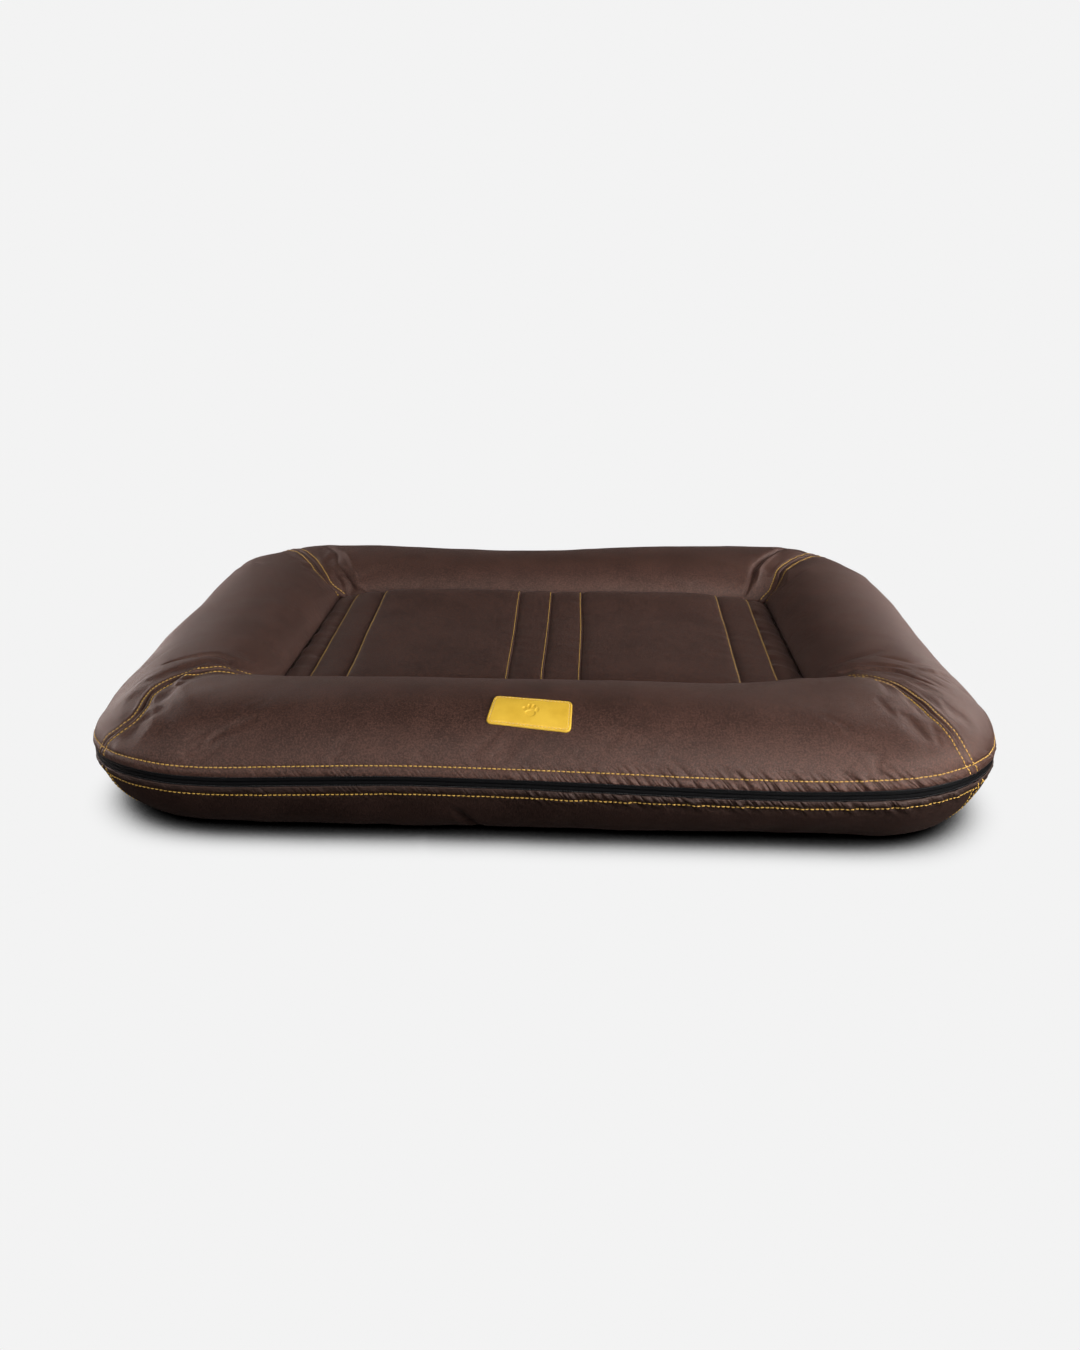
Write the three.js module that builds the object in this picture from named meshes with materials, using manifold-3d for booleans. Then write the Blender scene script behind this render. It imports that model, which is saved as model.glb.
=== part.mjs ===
// Pet cushion bed: a padded rim round a sunken, channel-stitched sleeping surface. The fabric cover is
// two shells joined by a zip that runs right round the middle of the rim. Inside lie four rim bolsters
// and a mattress. The top cover lifts off the inserts, and the inserts lift out of the bottom cover.
//
// Millimetres, +Z up. The origin is the centre of the underside, +X along the long side, -Y the front.
import * as THREE from "three";
import { mergeVertices } from "three/addons/utils/BufferGeometryUtils.js";
import Module from "manifold-3d";

const wasm = await Module();
wasm.setup();

// ---------------------------------------------------------------- driving dimensions
const BED_LENGTH = 900; // X, at the zip, which is the widest line of the bed
const BED_DEPTH = 680; // Y, at the zip
const CORNER_RADIUS = 122;
const RIM_FRONT = 176; // plan width of the front and back rims, from zip to well
const RIM_SIDE = 162; // plan width of the left and right rims
const ZIP_HEIGHT = 66;
const RIM_HEIGHT = 124; // crest of the rim
const WELL_SEAM_HEIGHT = 79; // where the rim meets the sleeping surface
const SLEEP_RISE = 11; // how far the sleeping surface is crowned above that seam
const RIM_FULLNESS = 0.86; // 1 is a half ellipse, less is squarer

const FABRIC = 1.6; // cover fabric with its lining and seam allowance
const SLACK = 1.5; // between the covers and what they hold
const GAP = 0.35; // between neighbours that meet edge to edge

const ZIP_BAND = 12; // zip showing between the two covers
const FLOOR_INSET = 54; // how far the bottom cover curves in before it lies on the floor
const TAPE = { inset: 4.1, thickness: 0.8, height: 11 };
const COIL = { inset: 5.2, thickness: 2.6, height: 2.6, split: 0.6 }; // split: from centreline to each coil
const INSERT_INSET = 11; // the rim inserts stay clear of the zip and its slider

const STITCH_LINES = [-260, -219, -41, 0, 41, 219, 260]; // X of the seams across the sleeping surface

// The label starts at this share of the way over the front rim, and its right end sits lower by tilt.
const LABEL = { width: 84, height: 38, thickness: 1.4, x: -4, from: 0.258, tilt: 0.037 };

const SLIDER = { x: 34, length: 16, height: 10, blade: 2.1, web: 0.6 };
const BRIDGE = { length: 12, width: 2.8, bar: 1.4, clear: 2.2 };
const PULL = { length: 34, width: 9, thickness: 1.4, window: 7.5, arm: 1.9 };
const END_TAB = { width: 36, height: 26, thickness: 1.2 };

// ---------------------------------------------------------------- materials
const material = (color, roughness, metalness = 0) =>
  new THREE.MeshStandardMaterial({ color, roughness, metalness });
const coverFabric = material(0x4a3630, 0.62);
const baseFabric = material(0x3a2a25, 0.7);
const linerFabric = material(0xd8d2c4, 0.85);
const zipTape = material(0x101011, 0.75);
const zipCoil = material(0x0b0b0c, 0.45);
const zipMetal = material(0x1c1c1e, 0.35, 0.8);
const labelLeather = material(0xe0ac30, 0.5);

// ---------------------------------------------------------------- geometry helpers
// A closed surface from vertices and triangles, turned so that its faces point out.
function closedGeometry(vertices, triangles) {
  const geometry = new THREE.BufferGeometry();
  geometry.setAttribute("position", new THREE.Float32BufferAttribute(vertices.flat(), 3));
  const corner = (i) => new THREE.Vector3(...vertices[i]);
  const volume = triangles.reduce(
    (sum, [a, b, c]) => sum + corner(a).dot(corner(b).cross(corner(c))),
    0,
  );
  geometry.setIndex(triangles.flatMap(([a, b, c]) => (volume < 0 ? [a, c, b] : [a, b, c])));
  geometry.computeVertexNormals();
  return geometry;
}

// Skins a row of equal closed sections and caps both ends; flat is the section's own 2-D outline.
function loft(sections, flat) {
  const n = flat.length;
  const vertices = sections.flat();
  const triangles = [];
  for (let s = 0; s + 1 < sections.length; s++)
    for (let i = 0; i < n; i++) {
      const [a, b] = [s * n + i, s * n + ((i + 1) % n)];
      triangles.push([a, b, b + n], [a, b + n, a + n]);
    }
  const cap = THREE.ShapeUtils.triangulateShape(
    flat.map(([x, y]) => new THREE.Vector2(x, y)),
    [],
  );
  const last = (sections.length - 1) * n;
  const clockwise = THREE.ShapeUtils.isClockWise(flat.map(([x, y]) => new THREE.Vector2(x, y)));
  for (const [a, b, c] of cap) {
    const [p, q, r] = clockwise ? [a, c, b] : [a, b, c];
    triangles.push(capTurn(flat, p, q, r, false));
    triangles.push(capTurn(flat, p, q, r, true).map((i) => i + last));
  }
  return closedGeometry(vertices, triangles);
}

// One cap triangle, wound against the outline at the first end and with it at the last.
function capTurn(flat, a, b, c, withOutline) {
  const outline = Math.sign(THREE.ShapeUtils.area(flat.map(([x, y]) => ({ x, y }))));
  const own = Math.sign(THREE.ShapeUtils.area([a, b, c].map((i) => ({ x: flat[i][0], y: flat[i][1] }))));
  return (own === outline) === withOutline ? [a, b, c] : [a, c, b];
}

// A solid over a grid of x and y, between two height functions.
function slab(xs, ys, top, bottom) {
  const n = ys.length;
  const layer = (height) => xs.flatMap((x) => ys.map((y) => [x, y, height(x, y)]));
  const vertices = [...layer(top), ...layer(bottom)];
  const under = xs.length * n;
  const at = (i, j) => i * n + j;
  const triangles = [];
  for (let i = 0; i + 1 < xs.length; i++)
    for (let j = 0; j + 1 < n; j++) {
      const [a, b, c, d] = [at(i, j), at(i + 1, j), at(i + 1, j + 1), at(i, j + 1)];
      triangles.push([a, b, c], [a, c, d]);
      triangles.push([a + under, c + under, b + under], [a + under, d + under, c + under]);
    }
  const wall = (a, b) => triangles.push([a, a + under, b + under], [a, b + under, b]);
  for (let i = 0; i + 1 < xs.length; i++) {
    wall(at(i, 0), at(i + 1, 0));
    wall(at(i + 1, n - 1), at(i, n - 1));
  }
  for (let j = 0; j + 1 < n; j++) {
    wall(at(xs.length - 1, j), at(xs.length - 1, j + 1));
    wall(at(0, j + 1), at(0, j));
  }
  return closedGeometry(vertices, triangles);
}

const spread = (from, to, steps) =>
  Array.from({ length: steps + 1 }, (_, i) => from + ((to - from) * i) / steps);

// The same outline moved sideways by distance, positive to the left of its direction.
function offsetLine(points, distance) {
  return points.map(([x, y], i) => {
    const [x0, y0] = points[Math.max(i - 1, 0)];
    const [x1, y1] = points[Math.min(i + 1, points.length - 1)];
    const length = Math.hypot(x1 - x0, y1 - y0);
    return [x - ((y1 - y0) / length) * distance, y + ((x1 - x0) / length) * distance];
  });
}

// A plate with rounded corners in the XZ plane, its thickness along +Y, centred on the origin.
function roundedPlate(length, height, thickness, radius) {
  const shape = new THREE.Shape();
  const [x, z] = [length / 2 - radius, height / 2 - radius];
  shape.absarc(x, z, radius, 0, Math.PI / 2);
  shape.absarc(-x, z, radius, Math.PI / 2, Math.PI);
  shape.absarc(-x, -z, radius, Math.PI, 1.5 * Math.PI);
  shape.absarc(x, -z, radius, 1.5 * Math.PI, 2 * Math.PI);
  return extrudedAlongY(shape, thickness);
}

// A shape drawn in x and z, extruded from y = -thickness / 2 to thickness / 2.
function extrudedAlongY(shape, thickness) {
  const geometry = new THREE.ExtrudeGeometry(shape, {
    depth: thickness,
    bevelEnabled: false,
    curveSegments: 4,
  });
  return geometry.rotateX(Math.PI / 2).translate(0, thickness / 2, 0);
}

const box = (x, y, z, at) => new THREE.BoxGeometry(x, y, z).translate(...at);

function toSolid(geometry) {
  const bare = geometry.clone();
  bare.deleteAttribute("normal");
  bare.deleteAttribute("uv");
  const merged = mergeVertices(bare, 1e-4);
  return new wasm.Manifold(
    new wasm.Mesh({
      numProp: 3,
      vertProperties: merged.attributes.position.array,
      triVerts: new Uint32Array(merged.index.array),
    }),
  );
}

// One body from several overlapping ones.
function joined(...geometries) {
  const solid = geometries.map(toSolid).reduce((a, b) => a.add(b));
  const made = solid.getMesh();
  const geometry = new THREE.BufferGeometry();
  geometry.setAttribute("position", new THREE.BufferAttribute(made.vertProperties, 3));
  geometry.setIndex(new THREE.BufferAttribute(made.triVerts, 1));
  geometry.computeVertexNormals();
  return geometry;
}

// ---------------------------------------------------------------- plan of the rim
// Each side is drawn as the front is, along +X at -Y, and turned to its place.
const SIDES = [
  { name: "front", half: BED_LENGTH / 2, out: BED_DEPTH / 2, rim: RIM_FRONT, next: RIM_SIDE, turn: 0 },
  { name: "right", half: BED_DEPTH / 2, out: BED_LENGTH / 2, rim: RIM_SIDE, next: RIM_FRONT, turn: 0.5 },
  { name: "back", half: BED_LENGTH / 2, out: BED_DEPTH / 2, rim: RIM_FRONT, next: RIM_SIDE, turn: 1 },
  { name: "left", half: BED_DEPTH / 2, out: BED_LENGTH / 2, rim: RIM_SIDE, next: RIM_FRONT, turn: 1.5 },
];
const WELL = { x: BED_LENGTH / 2 - RIM_SIDE, y: BED_DEPTH / 2 - RIM_FRONT };

const ARC_STEPS = 4; // in each half corner
const STRAIGHT_STEPS = 5;

// Where a side's panel is cut across: the outer point on the zip line and the inner point on the well.
// The ends lie on the corner seams, which run from the middle of each round corner to the well's corner.
function stations(side) {
  const straight = side.half - CORNER_RADIUS;
  const arc = (CORNER_RADIUS * Math.PI) / 4;
  const total = 2 * (straight + arc);
  const innerHalf = side.half - side.next;
  const outer = (s) => {
    const beyond = Math.abs(s) - straight;
    if (beyond <= 0) return [s, -side.out];
    const angle = beyond / CORNER_RADIUS;
    const along = straight + CORNER_RADIUS * Math.sin(angle);
    return [Math.sign(s) * along, -side.out + CORNER_RADIUS * (1 - Math.cos(angle))];
  };
  const cuts = [
    ...spread(-straight - arc, -straight, ARC_STEPS),
    ...spread(-straight, straight, STRAIGHT_STEPS).slice(1, -1),
    ...spread(straight, straight + arc, ARC_STEPS),
  ];
  return cuts.map((s) => ({ outer: outer(s), inner: [(2 * s * innerHalf) / total, side.rim - side.out] }));
}

// The point at a given inset from the zip line; insets are true on the front and back rims.
function pointAt(station, inset, z) {
  const share = inset / RIM_FRONT;
  const [x0, y0] = station.outer;
  const [x1, y1] = station.inner;
  return [x0 + (x1 - x0) * share, y0 + (y1 - y0) * share, z];
}

// A side's piece with the given section of [inset, z] points, cut at both corner seams.
function sidePiece(side, profile, seamGap = GAP) {
  const cuts = stations(side);
  const sections = cuts.map((station, i) => {
    const shift = i === 0 ? seamGap : i === cuts.length - 1 ? -seamGap : 0;
    return profile.map(([inset, z]) => {
      const [x, y] = pointAt(station, inset, z);
      return [x + shift, y, z];
    });
  });
  return loft(sections, profile);
}

// A strip that runs right round the bed, from one end beside the middle of the back to the other.
function roundStrip(profile, endGap) {
  const turned = ({ outer, inner }, turn) => {
    const spin = ([x, y]) => new THREE.Vector2(x, y).rotateAround(new THREE.Vector2(), turn * Math.PI);
    return { outer: spin(outer).toArray(), inner: spin(inner).toArray() };
  };
  const [front, right, back, left] = SIDES.map((side) =>
    stations(side).map((station) => turned(station, side.turn)),
  );
  const end = (x) => ({ outer: [x, BED_DEPTH / 2], inner: [x, WELL.y] });
  const route = [
    end(-endGap),
    ...back.filter(({ outer }) => outer[0] < -endGap),
    ...left.slice(1),
    ...front.slice(1),
    ...right.slice(1),
    ...back.slice(1).filter(({ outer }) => outer[0] > endGap),
    end(endGap),
  ];
  return loft(
    route.map((station) => profile.map(([inset, z]) => pointAt(station, inset, z))),
    profile,
  );
}

// ---------------------------------------------------------------- sections of the rim
const EDGE_INSET = 1.0; // the covers' folded edges, just behind the widest line
const TOP_EDGE = ZIP_HEIGHT + ZIP_BAND / 2;
const BOTTOM_EDGE = ZIP_HEIGHT - ZIP_BAND / 2;

// Outer surface of the top cover, from the zip over the crest to the well.
function crestPoint(share, fullness = RIM_FULLNESS) {
  const angle = share * Math.PI;
  const foot = share < 0.5 ? TOP_EDGE : WELL_SEAM_HEIGHT;
  const inset = EDGE_INSET + ((RIM_FRONT - EDGE_INSET) * (1 - Math.cos(angle))) / 2;
  return [inset, foot + (RIM_HEIGHT - foot) * Math.abs(Math.sin(angle)) ** fullness];
}
const topLine = spread(0, 1, 11).map((share) => crestPoint(share));

// Outer surface of the bottom cover, from the zip down and under to the floor.
const bottomLine = spread(0, Math.PI / 2, 5).map((angle) => [
  EDGE_INSET + (FLOOR_INSET - EDGE_INSET) * (1 - Math.cos(angle)),
  BOTTOM_EDGE * (1 - Math.sin(angle)),
]);

// The top cover's shell is closed at the well by a vertical cut, so that it meets the sleeping surface.
const topShell = (() => {
  const inner = offsetLine(topLine, -FABRIC).map(([inset, z]) => [Math.min(inset, RIM_FRONT), z]);
  inner[inner.length - 1] = [RIM_FRONT - FABRIC, WELL_SEAM_HEIGHT - FABRIC / 2];
  return [...topLine, ...inner.reverse()];
})();
const bottomShell = (() => {
  const inner = offsetLine(bottomLine, FABRIC).map(([inset, z]) => [Math.min(inset, FLOOR_INSET), z]);
  inner[inner.length - 1] = [FLOOR_INSET, FABRIC];
  return [...bottomLine, ...inner.reverse()];
})();

// The rim insert fills the space between the two covers.
const insertSection = (() => {
  const reach = FABRIC + SLACK;
  const above = offsetLine(topLine, -reach)
    .filter(([, z]) => z > ZIP_HEIGHT)
    .map(([inset, z]) => [THREE.MathUtils.clamp(inset, INSERT_INSET, RIM_FRONT - reach - 1), z]);
  const below = offsetLine(bottomLine, reach)
    .map(([inset, z]) => [Math.max(inset, INSERT_INSET), Math.max(z, reach)])
    .reverse();
  return [...above, [RIM_FRONT - reach - 1, reach], ...below];
})();

const rectangle = ([inset0, z0], [inset1, z1]) => [
  [inset0, z0],
  [inset1, z0],
  [inset1, z1],
  [inset0, z1],
];

// ---------------------------------------------------------------- pieces
function add(parent, name, geometry, finish) {
  const mesh = new THREE.Mesh(geometry, finish);
  mesh.name = name;
  parent.add(mesh);
  return mesh;
}

function addBottomCover(parent) {
  for (const side of SIDES) {
    const border = sidePiece(side, bottomShell);
    add(parent, `base_border_${side.name}`, border, baseFabric).rotation.z = side.turn * Math.PI;
  }
  const outline = SIDES.flatMap((side) =>
    stations(side)
      .slice(1)
      .map((station) => pointAt(station, FLOOR_INSET + GAP, 0))
      .map(([x, y]) => new THREE.Vector2(x, y).rotateAround(new THREE.Vector2(), side.turn * Math.PI)),
  );
  const panel = new THREE.ExtrudeGeometry(new THREE.Shape(outline), { depth: FABRIC, bevelEnabled: false });
  add(parent, "base_panel", panel, baseFabric);
}

function addInserts(parent) {
  for (const side of SIDES) {
    const insert = sidePiece(side, insertSection, SLACK);
    add(parent, `rim_insert_${side.name}`, insert, linerFabric).rotation.z = side.turn * Math.PI;
  }
  const inset = SLACK + FABRIC - 1;
  const [x, y] = [WELL.x - inset, WELL.y - inset];
  const reach = FABRIC + SLACK;
  const mattress = slab(
    spread(-x, x, 12),
    spread(-y, y, 10),
    (px, py) => sleepHeight(px, py) - reach,
    () => reach,
  );
  add(parent, "mattress_insert", mattress, linerFabric);
}

// The crowned top of the sleeping surface.
function sleepHeight(x, y) {
  const fall = (v, half, power) => 1 - Math.abs(v / half) ** power;
  return WELL_SEAM_HEIGHT + SLEEP_RISE * fall(x, WELL.x, 8) * fall(y, WELL.y, 4);
}

const STRIP_NAMES = [
  "sleep_margin_left",
  "sleep_band_left",
  "sleep_panel_left",
  "sleep_band_centre_left",
  "sleep_band_centre_right",
  "sleep_panel_right",
  "sleep_band_right",
  "sleep_margin_right",
];

function addSleepingSurface(parent) {
  const seams = [-WELL.x, ...STITCH_LINES, WELL.x];
  STRIP_NAMES.forEach((name, i) => {
    const [from, to] = [seams[i] + GAP / 2, seams[i + 1] - GAP / 2];
    const columns = to - from > 100 ? 5 : 2;
    const strip = slab(
      spread(from, to, columns),
      spread(-WELL.y + GAP, WELL.y - GAP, 10),
      sleepHeight,
      (x, y) => sleepHeight(x, y) - FABRIC,
    );
    add(parent, name, strip, coverFabric);
  });
}

function addTopCover(parent) {
  for (const side of SIDES) {
    const panel = sidePiece(side, topShell);
    add(parent, `rim_cover_${side.name}`, panel, coverFabric).rotation.z = side.turn * Math.PI;
  }
  addSleepingSurface(parent);
}

// Points up the front rim, evenly spaced, starting at the given share of the way over it.
function labelLine(from) {
  const rows = 6;
  const line = [crestPoint(from)];
  let last = line[0];
  let length = 0;
  for (let share = from; line.length <= rows; share += 0.002) {
    const point = crestPoint(share);
    length += Math.hypot(point[0] - last[0], point[1] - last[1]);
    last = point;
    if (length >= (line.length * LABEL.height) / rows) line.push(point);
  }
  return line;
}

// The label follows the front rim's surface, a little askew.
function addLabel(parent) {
  const section = (dx) => {
    const line = labelLine(LABEL.from - (LABEL.tilt * dx) / LABEL.width);
    return [...offsetLine(line, LABEL.thickness + GAP), ...offsetLine(line, GAP).reverse()];
  };
  const sections = spread(-LABEL.width / 2, LABEL.width / 2, 6).map((dx) =>
    section(dx).map(([inset, z]) => [LABEL.x + dx, inset - BED_DEPTH / 2, z]),
  );
  add(parent, "label_patch", loft(sections, section(0)), labelLeather);
}

function addZip(topParent, bottomParent) {
  const [near, far] = [TAPE.inset, TAPE.inset + TAPE.thickness];
  const [coilNear, coilFar] = [COIL.inset, COIL.inset + COIL.thickness];
  for (const [word, parent, up] of [
    ["upper", topParent, 1],
    ["lower", bottomParent, -1],
  ]) {
    const from = ZIP_HEIGHT + up * COIL.split;
    const tape = rectangle([near, from], [far, from + up * TAPE.height]);
    const coil = rectangle([coilNear, from], [coilFar, from + up * COIL.height]);
    add(parent, `zip_tape_${word}`, roundStrip(tape, 1), zipTape);
    add(parent, `zip_coil_${word}`, roundStrip(coil, 20), zipCoil);
    for (const [side, x] of [
      ["left", -17],
      ["right", 17],
    ]) {
      const stop = roundedPlate(3, 3, COIL.thickness, 0.7);
      const mesh = add(parent, `zip_stop_${word}_${side}`, stop, zipMetal);
      mesh.position.set(x, BED_DEPTH / 2 - (coilNear + coilFar) / 2, from + up * 1.6);
    }
  }
  const tab = roundedPlate(END_TAB.width, END_TAB.height, END_TAB.thickness, 3);
  const outside = BED_DEPTH / 2 - EDGE_INSET + GAP + END_TAB.thickness / 2;
  add(topParent, "zip_end_tab", tab, coverFabric).position.set(0, outside, ZIP_HEIGHT);
}

// Local frame of the slider: x along the zip, y out of the bed, z up, origin on the zip's centreline at
// the outer face of the tape.
function addSlider(parent) {
  const tapeFace = BED_DEPTH / 2 - TAPE.inset;
  const outerFace = 0.4 + SLIDER.blade;
  const innerFace = -(COIL.inset - TAPE.inset) - COIL.thickness - 0.5;
  const post = (BRIDGE.length - BRIDGE.bar) / 2;
  const top = outerFace + BRIDGE.clear;
  const bridgePost = (x) =>
    box(BRIDGE.bar, BRIDGE.clear + BRIDGE.bar + 0.4, BRIDGE.width, [
      x,
      outerFace + (BRIDGE.clear + BRIDGE.bar - 0.4) / 2,
      0,
    ]);
  const body = joined(
    roundedPlate(SLIDER.length, SLIDER.height, SLIDER.blade, 3.4).translate(0, 0.4 + SLIDER.blade / 2, 0),
    roundedPlate(SLIDER.length, SLIDER.height, SLIDER.blade, 3.4).translate(0, innerFace - SLIDER.blade / 2, 0),
    box(SLIDER.length - 4, outerFace - innerFace + 1, SLIDER.web, [0, (outerFace + innerFace - 1) / 2, 0]),
    bridgePost(-post),
    bridgePost(post),
    box(BRIDGE.length, BRIDGE.bar, BRIDGE.width, [0, top + BRIDGE.bar / 2, 0]),
  );
  add(parent, "zip_slider_body", body, zipMetal).position.set(SLIDER.x, tapeFace, ZIP_HEIGHT);

  const [half, reach] = [PULL.width / 2, PULL.length - PULL.width / 2];
  const outline = new THREE.Shape();
  outline.moveTo(-PULL.thickness / 2, -half);
  outline.lineTo(reach, -half);
  outline.absarc(reach, 0, half, -Math.PI / 2, Math.PI / 2);
  outline.lineTo(-PULL.thickness / 2, half);
  outline.closePath();
  const window = new THREE.Path();
  const inside = half - PULL.arm;
  window.moveTo(PULL.thickness / 2, -inside);
  window.lineTo(PULL.thickness / 2, inside);
  window.lineTo(PULL.window, inside);
  window.lineTo(PULL.window, -inside);
  window.closePath();
  outline.holes.push(window);
  const pull = extrudedAlongY(outline, PULL.thickness);
  const hinge = tapeFace + outerFace + BRIDGE.clear / 2;
  add(parent, "zip_pull_tab", pull, zipMetal).position.set(SLIDER.x, hinge, ZIP_HEIGHT);
}

const bed = new THREE.Group();
const [bottomCover, inserts, topCover, slider] = Array.from({ length: 4 }, () => new THREE.Group());
bed.add(bottomCover, inserts, topCover, slider);
addBottomCover(bottomCover);
addInserts(inserts);
addTopCover(topCover);
addLabel(topCover);
addZip(topCover, bottomCover);
addSlider(slider);

export default bed;
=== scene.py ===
"""Pet cushion bed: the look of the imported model. Metres throughout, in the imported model's frame.

The rim is one ring of cloth. A place on it is (u, t): u is the distance round the bed along the zip, from
the front left corner seam towards the front right one, and t runs from 0 at the zip over the crest to 1
at the sleeping surface.
"""
import math

import bmesh
import bpy
import numpy as np
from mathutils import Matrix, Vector


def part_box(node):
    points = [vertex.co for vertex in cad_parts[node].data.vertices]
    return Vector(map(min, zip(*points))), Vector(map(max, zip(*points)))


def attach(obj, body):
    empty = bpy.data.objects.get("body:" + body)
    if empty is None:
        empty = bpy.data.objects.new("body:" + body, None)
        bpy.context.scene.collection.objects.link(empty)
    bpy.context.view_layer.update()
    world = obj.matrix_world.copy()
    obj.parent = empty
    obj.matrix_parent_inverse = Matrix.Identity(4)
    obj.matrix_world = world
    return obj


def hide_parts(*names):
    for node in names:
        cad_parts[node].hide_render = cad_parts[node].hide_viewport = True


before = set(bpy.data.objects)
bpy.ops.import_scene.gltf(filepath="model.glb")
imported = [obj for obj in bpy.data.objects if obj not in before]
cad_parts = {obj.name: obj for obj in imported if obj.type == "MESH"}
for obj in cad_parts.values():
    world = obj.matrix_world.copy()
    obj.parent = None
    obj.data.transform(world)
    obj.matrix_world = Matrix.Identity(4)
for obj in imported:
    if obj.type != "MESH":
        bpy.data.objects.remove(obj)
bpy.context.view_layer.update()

MM = 0.001

# ---------------------------------------------------------------- sizes, from the frame
def near_mm(value):
    return round(value, 3)


EDGE_INSET = 1.0 * MM  # the covers' edges lie this far inside the widest line
HALF_X = near_mm(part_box("rim_cover_right")[1].x + EDGE_INSET)
HALF_Y = near_mm(-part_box("rim_cover_front")[0].y + EDGE_INSET)
WELL_X = near_mm(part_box("sleep_margin_right")[1].x)
WELL_Y = near_mm(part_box("sleep_panel_left")[1].y)
CORNER_RADIUS = 122 * MM
RIM_WIDTH = HALF_Y - WELL_Y
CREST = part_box("rim_cover_front")[1].z
TOP_EDGE = 72 * MM
BOTTOM_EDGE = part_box("base_border_front")[1].z
ZIP_Z = 66 * MM
COVER_REACH = 0.7 * MM  # each cover's folded edge comes this far over the zip
WELL_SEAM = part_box("sleep_margin_left")[0].z + 1.6 * MM
SLEEP_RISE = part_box("sleep_panel_left")[1].z - WELL_SEAM
FLOOR_INSET = 54 * MM
RIM_FULLNESS = 0.86
FABRIC = 1.6 * MM
STITCH_PITCH = 4.5 * MM
THREAD_RADIUS = 0.54 * MM

SEAMS_X = [near_mm(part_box(node)[1].x) for node in (
    "sleep_margin_left", "sleep_band_left", "sleep_panel_left", "sleep_band_centre_left",
    "sleep_band_centre_right", "sleep_panel_right", "sleep_band_right")]

SIDE_NAMES = ("front", "right", "back", "left")
SIDE_SIZES = [(HALF_X, HALF_Y, WELL_X, WELL_Y), (HALF_Y, HALF_X, WELL_Y, WELL_X)] * 2
ARC = CORNER_RADIUS * math.pi / 4
SIDE_LENGTHS = [2 * (half - CORNER_RADIUS + ARC) for half, *_ in SIDE_SIZES]
SEAM_U = np.concatenate([[0], np.cumsum(SIDE_LENGTHS)])  # the corner seams, and the first one again
ROUND = SEAM_U[4]
FRONT_MIDDLE = SIDE_LENGTHS[0] / 2
BACK_MIDDLE = SEAM_U[2] + SIDE_LENGTHS[2] / 2


# ---------------------------------------------------------------- small numeric helpers
def smooth(edge0, edge1, x):
    s = np.clip((x - edge0) / (edge1 - edge0), 0, 1)
    return s * s * (3 - 2 * s)


def bump(x, centre, width):
    return np.exp(-(((x - centre) / width) ** 2))


def round_distance(u, centre):
    """Signed distance round the ring from centre to u."""
    return (u - centre + ROUND / 2) % ROUND - ROUND / 2


def through(points, x):
    """A smooth curve through a few given (x, y) points."""
    xs, ys = np.array(points, float).T
    fine = np.linspace(xs[0], xs[-1], 160)
    rough = np.interp(fine, xs, ys)
    kernel = np.hanning(15)
    padded = np.pad(rough, 7, mode="edge")
    return np.interp(x, fine, np.convolve(padded, kernel / kernel.sum(), mode="valid"))


def noise2(x, y, seed, wrap=0):
    """Smooth noise from -1 to 1. x repeats after wrap cells when wrap is given."""
    table = np.random.default_rng(seed).uniform(-1, 1, (wrap or 512, 128))
    x, y = np.broadcast_arrays(np.asarray(x, float), np.asarray(y, float))
    x0, y0 = np.floor(x).astype(int), np.floor(y).astype(int)
    fx, fy = x - x0, y - y0
    fx, fy = fx * fx * (3 - 2 * fx), fy * fy * (3 - 2 * fy)
    n, m = table.shape

    def corner(i, j):
        return table[(x0 + i) % n, (y0 + j) % m]

    low = corner(0, 0) * (1 - fx) + corner(1, 0) * fx
    high = corner(0, 1) * (1 - fx) + corner(1, 1) * fx
    return low * (1 - fy) + high * fy


def ring_noise(u, y, cell, seed):
    """Noise along the ring that closes on itself; cell is its size along u."""
    cells = int(round(ROUND / cell))
    return noise2(np.mod(u, ROUND) / ROUND * cells, y, seed, cells)


def cubic_weights(f):
    """The four weights of a Catmull-Rom curve at a fraction f between its middle points."""
    f2, f3 = f * f, f * f * f
    return (-f3 + 2 * f2 - f) / 2, (3 * f3 - 5 * f2 + 2) / 2, (-3 * f3 + 4 * f2 + f) / 2, (f3 - f2) / 2


def refine(grid, rows, columns):
    """A (columns, rows, 3) ring of points, read at fractional places by cubic interpolation."""
    n, m = grid.shape[:2]
    i = np.floor(columns).astype(int)
    wide = sum(w[:, None, None] * grid[(i + k - 1) % n] for k, w in enumerate(cubic_weights(columns - i)))
    j = np.minimum(np.floor(rows).astype(int), m - 2)
    weights = cubic_weights(rows - j)
    return sum(w[None, :, None] * wide[:, np.clip(j + k - 1, 0, m - 1)] for k, w in enumerate(weights))


def unit(vectors):
    return vectors / np.maximum(np.linalg.norm(vectors, axis=-1, keepdims=True), 1e-12)


def run_along(line):
    """The distance along a line of points, from 0 at the first one."""
    return np.concatenate([[0], np.cumsum(np.linalg.norm(np.diff(line, axis=0), axis=1))])


def grid_normals(grid, closed=False):
    """Unit normals of a grid of points; the first axis may be a closed ring."""
    along = np.roll(grid, -1, 0) - np.roll(grid, 1, 0) if closed else np.gradient(grid, axis=0)
    return unit(np.cross(along, np.gradient(grid, axis=1)))


def upward(normals):
    return normals * np.sign(normals[..., 2:3])


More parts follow.
